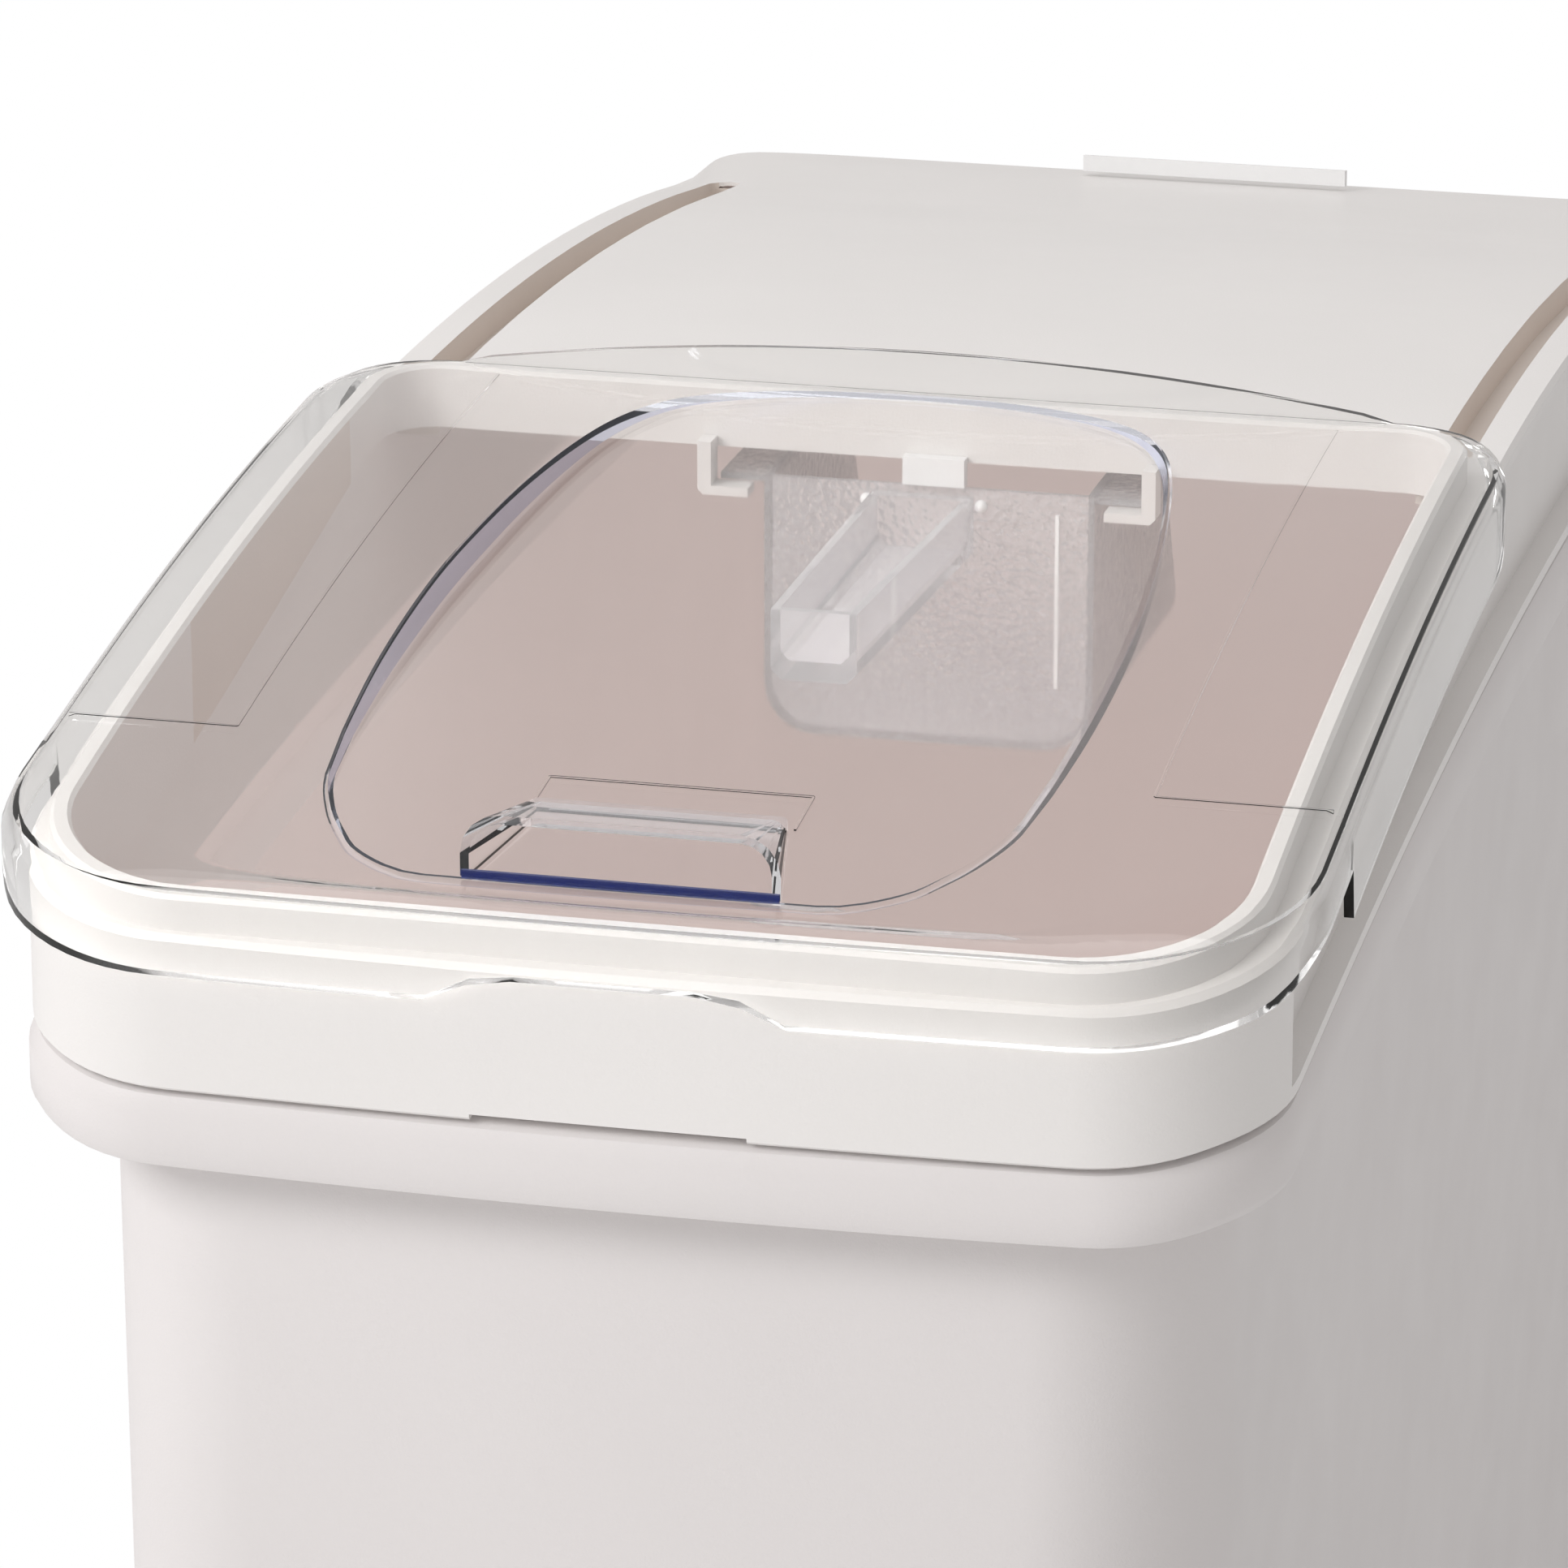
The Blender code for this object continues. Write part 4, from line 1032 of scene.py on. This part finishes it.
def build_wheels():
    """Finely turned wheels and tyres in place of the plainer CAD ones."""
    face = WHEEL_HALF
    core = [
        (0.0055, -face - 0.001), (0.0105, -face - 0.001), (0.0115, -face + 0.0030),
        (0.0230, -face + 0.0045), (0.0265, -face + 0.0010), (0.0298, -face + 0.0010),
    ]
    tyre = [
        (0.0303, -face + 0.0008), (0.0345, -face + 0.0006), (0.0362, -face + 0.0018),
        (0.0373, -0.0075), (0.03775, -0.0035),
    ]
    for tag in ("front_left", "front_right", "rear_left", "rear_right"):
        build_turned_part(tag, "wheel", core, CORE)
        build_turned_part(tag, "tyre", tyre, TYRE)


def build_turned_part(tag, part, half_profile, mat):
    """One wheel or tyre, from the profile of its one half, where its CAD node is."""
    node_name = "caster_" + tag + "_" + part
    low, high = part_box(node_name)
    center = [(a + b) / 2 for a, b in zip(low, high)]
    profile = half_profile + [(radius, -along) for radius, along in reversed(half_profile)]
    piece = turned("fine_" + tag + "_" + part, profile, "x", center, mat, steps=72)
    shade(piece, 40)
    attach(piece, "wheel_" + tag)
    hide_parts(node_name)


def dress_nodes():
    """Materials for the CAD nodes that are shown as they are."""
    looks = {
        "rear_stop": TAB_WHITE, "scoop_catch": TAB_WHITE,
        "scoop_hook_left": LID_WHITE, "scoop_hook_right": LID_WHITE,
    }
    for name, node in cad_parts.items():
        look = looks.get(name)
        if name.startswith("caster_") and not name.endswith(("_wheel", "_tyre")):
            look = STEEL if name.endswith(("_plate", "_race", "_fork", "_bracket")) else BOLT
        if look is not None:
            node.data.materials.clear()
            node.data.materials.append(look)


# Stage

FLOOR_REACH = 30.0
AMBIENT_LEFT = 0.70
AMBIENT_RIGHT = 0.54
AMBIENT_TINT = (1.0, 0.975, 0.965, 1.0)
KEY_WATTS = 53.0
TOP_WATTS = 9.0
STRIP_WATTS = 4.0
CAMERA_PLACE = Vector((0.4994, -2.1960, EDGE_LEVEL + 0.6579))
CAMERA_AIM = Vector((0.0408, -0.3610, EDGE_LEVEL + 0.0371))
CAMERA_LENS = 195.9


def area_light(name, place, aim, size, watts):
    data = bpy.data.lights.new(name, "AREA")
    data.shape = "RECTANGLE"
    data.size, data.size_y = size
    data.energy = watts
    light = bpy.data.objects.new(name, data)
    light.location = place
    light.rotation_euler = (Vector(aim) - Vector(place)).to_track_quat("-Z", "Y").to_euler()
    bpy.context.collection.objects.link(light)


def build_floor():
    """Pale floor, washed out to plain white where the camera sees it directly."""
    mesh = bpy.data.meshes.new("floor")
    corners = [(-1, -1), (1, -1), (1, 1), (-1, 1)]
    mesh.from_pydata([(x * FLOOR_REACH, y * FLOOR_REACH, 0) for x, y in corners], [], [(0, 1, 2, 3)])
    floor = bpy.data.objects.new("floor", mesh)
    bpy.context.collection.objects.link(floor)
    nodes = Nodes("pale_floor")
    pale = nodes.ramp(nodes.noise(0.6), [(0.3, 0.84), (0.7, 0.86)])
    nodes.link(pale, nodes.shader.inputs["Base Color"])
    nodes.fixed(Roughness=0.9)
    glow = nodes.tree.nodes.new("ShaderNodeEmission")
    path = nodes.tree.nodes.new("ShaderNodeLightPath")
    mix = nodes.tree.nodes.new("ShaderNodeMixShader")
    nodes.link(path.outputs["Is Camera Ray"], mix.inputs["Fac"])
    nodes.link(nodes.shader.outputs[0], mix.inputs[1])
    nodes.link(glow.outputs[0], mix.inputs[2])
    nodes.link(mix.outputs[0], nodes.output.inputs["Surface"])
    mesh.materials.append(nodes.mat)


def build_world():
    """Soft light all round, stronger from the left, behind a background that looks plain white."""
    world = bpy.data.worlds.new("studio")
    bpy.context.scene.world = world
    world.use_nodes = True
    tree = world.node_tree
    ambient = tree.nodes["Background"]
    ambient.inputs["Color"].default_value = AMBIENT_TINT
    coords = tree.nodes.new("ShaderNodeTexCoord")
    split = tree.nodes.new("ShaderNodeSeparateXYZ")
    across = tree.nodes.new("ShaderNodeMapRange")
    across.inputs["From Min"].default_value = -0.8
    across.inputs["From Max"].default_value = 0.6
    across.inputs["To Min"].default_value = AMBIENT_LEFT
    across.inputs["To Max"].default_value = AMBIENT_RIGHT
    tree.links.new(coords.outputs["Generated"], split.inputs[0])
    tree.links.new(split.outputs["X"], across.inputs["Value"])
    tree.links.new(across.outputs["Result"], ambient.inputs["Strength"])
    backdrop = tree.nodes.new("ShaderNodeBackground")
    backdrop.inputs["Color"].default_value = (1, 1, 1, 1)
    mix = tree.nodes.new("ShaderNodeMixShader")
    path = tree.nodes.new("ShaderNodeLightPath")
    tree.links.new(path.outputs["Is Camera Ray"], mix.inputs["Fac"])
    tree.links.new(ambient.outputs[0], mix.inputs[1])
    tree.links.new(backdrop.outputs[0], mix.inputs[2])
    tree.links.new(mix.outputs[0], tree.nodes["World Output"].inputs["Surface"])


def build_lights():
    area_light("key", (-1.7, -2.3, 2.5), (0.0, -0.1, 0.5), (1.6, 1.2), KEY_WATTS)
    area_light("top", (-0.4, 0.4, 3.0), (0.0, 0.0, 0.6), (1.8, 1.8), TOP_WATTS)
    area_light("strip", (-2.2, 0.4, 1.6), (0.0, 0.0, 0.6), (0.4, 1.6), STRIP_WATTS)


def build_camera():
    data = bpy.data.cameras.new("camera")
    data.lens = CAMERA_LENS
    data.sensor_width = 36.0
    data.clip_start, data.clip_end = 0.05, 100.0
    camera = bpy.data.objects.new("camera", data)
    camera.location = CAMERA_PLACE
    camera.rotation_euler = (CAMERA_AIM - CAMERA_PLACE).to_track_quat("-Z", "Y").to_euler()
    bpy.context.collection.objects.link(camera)
    bpy.context.scene.camera = camera


bpy.context.scene.view_settings.view_transform = "Standard"
build_shells()
build_door_trim()
build_scoop_glints()
build_wheels()
dress_nodes()
build_floor()
build_world()
build_lights()
build_camera()
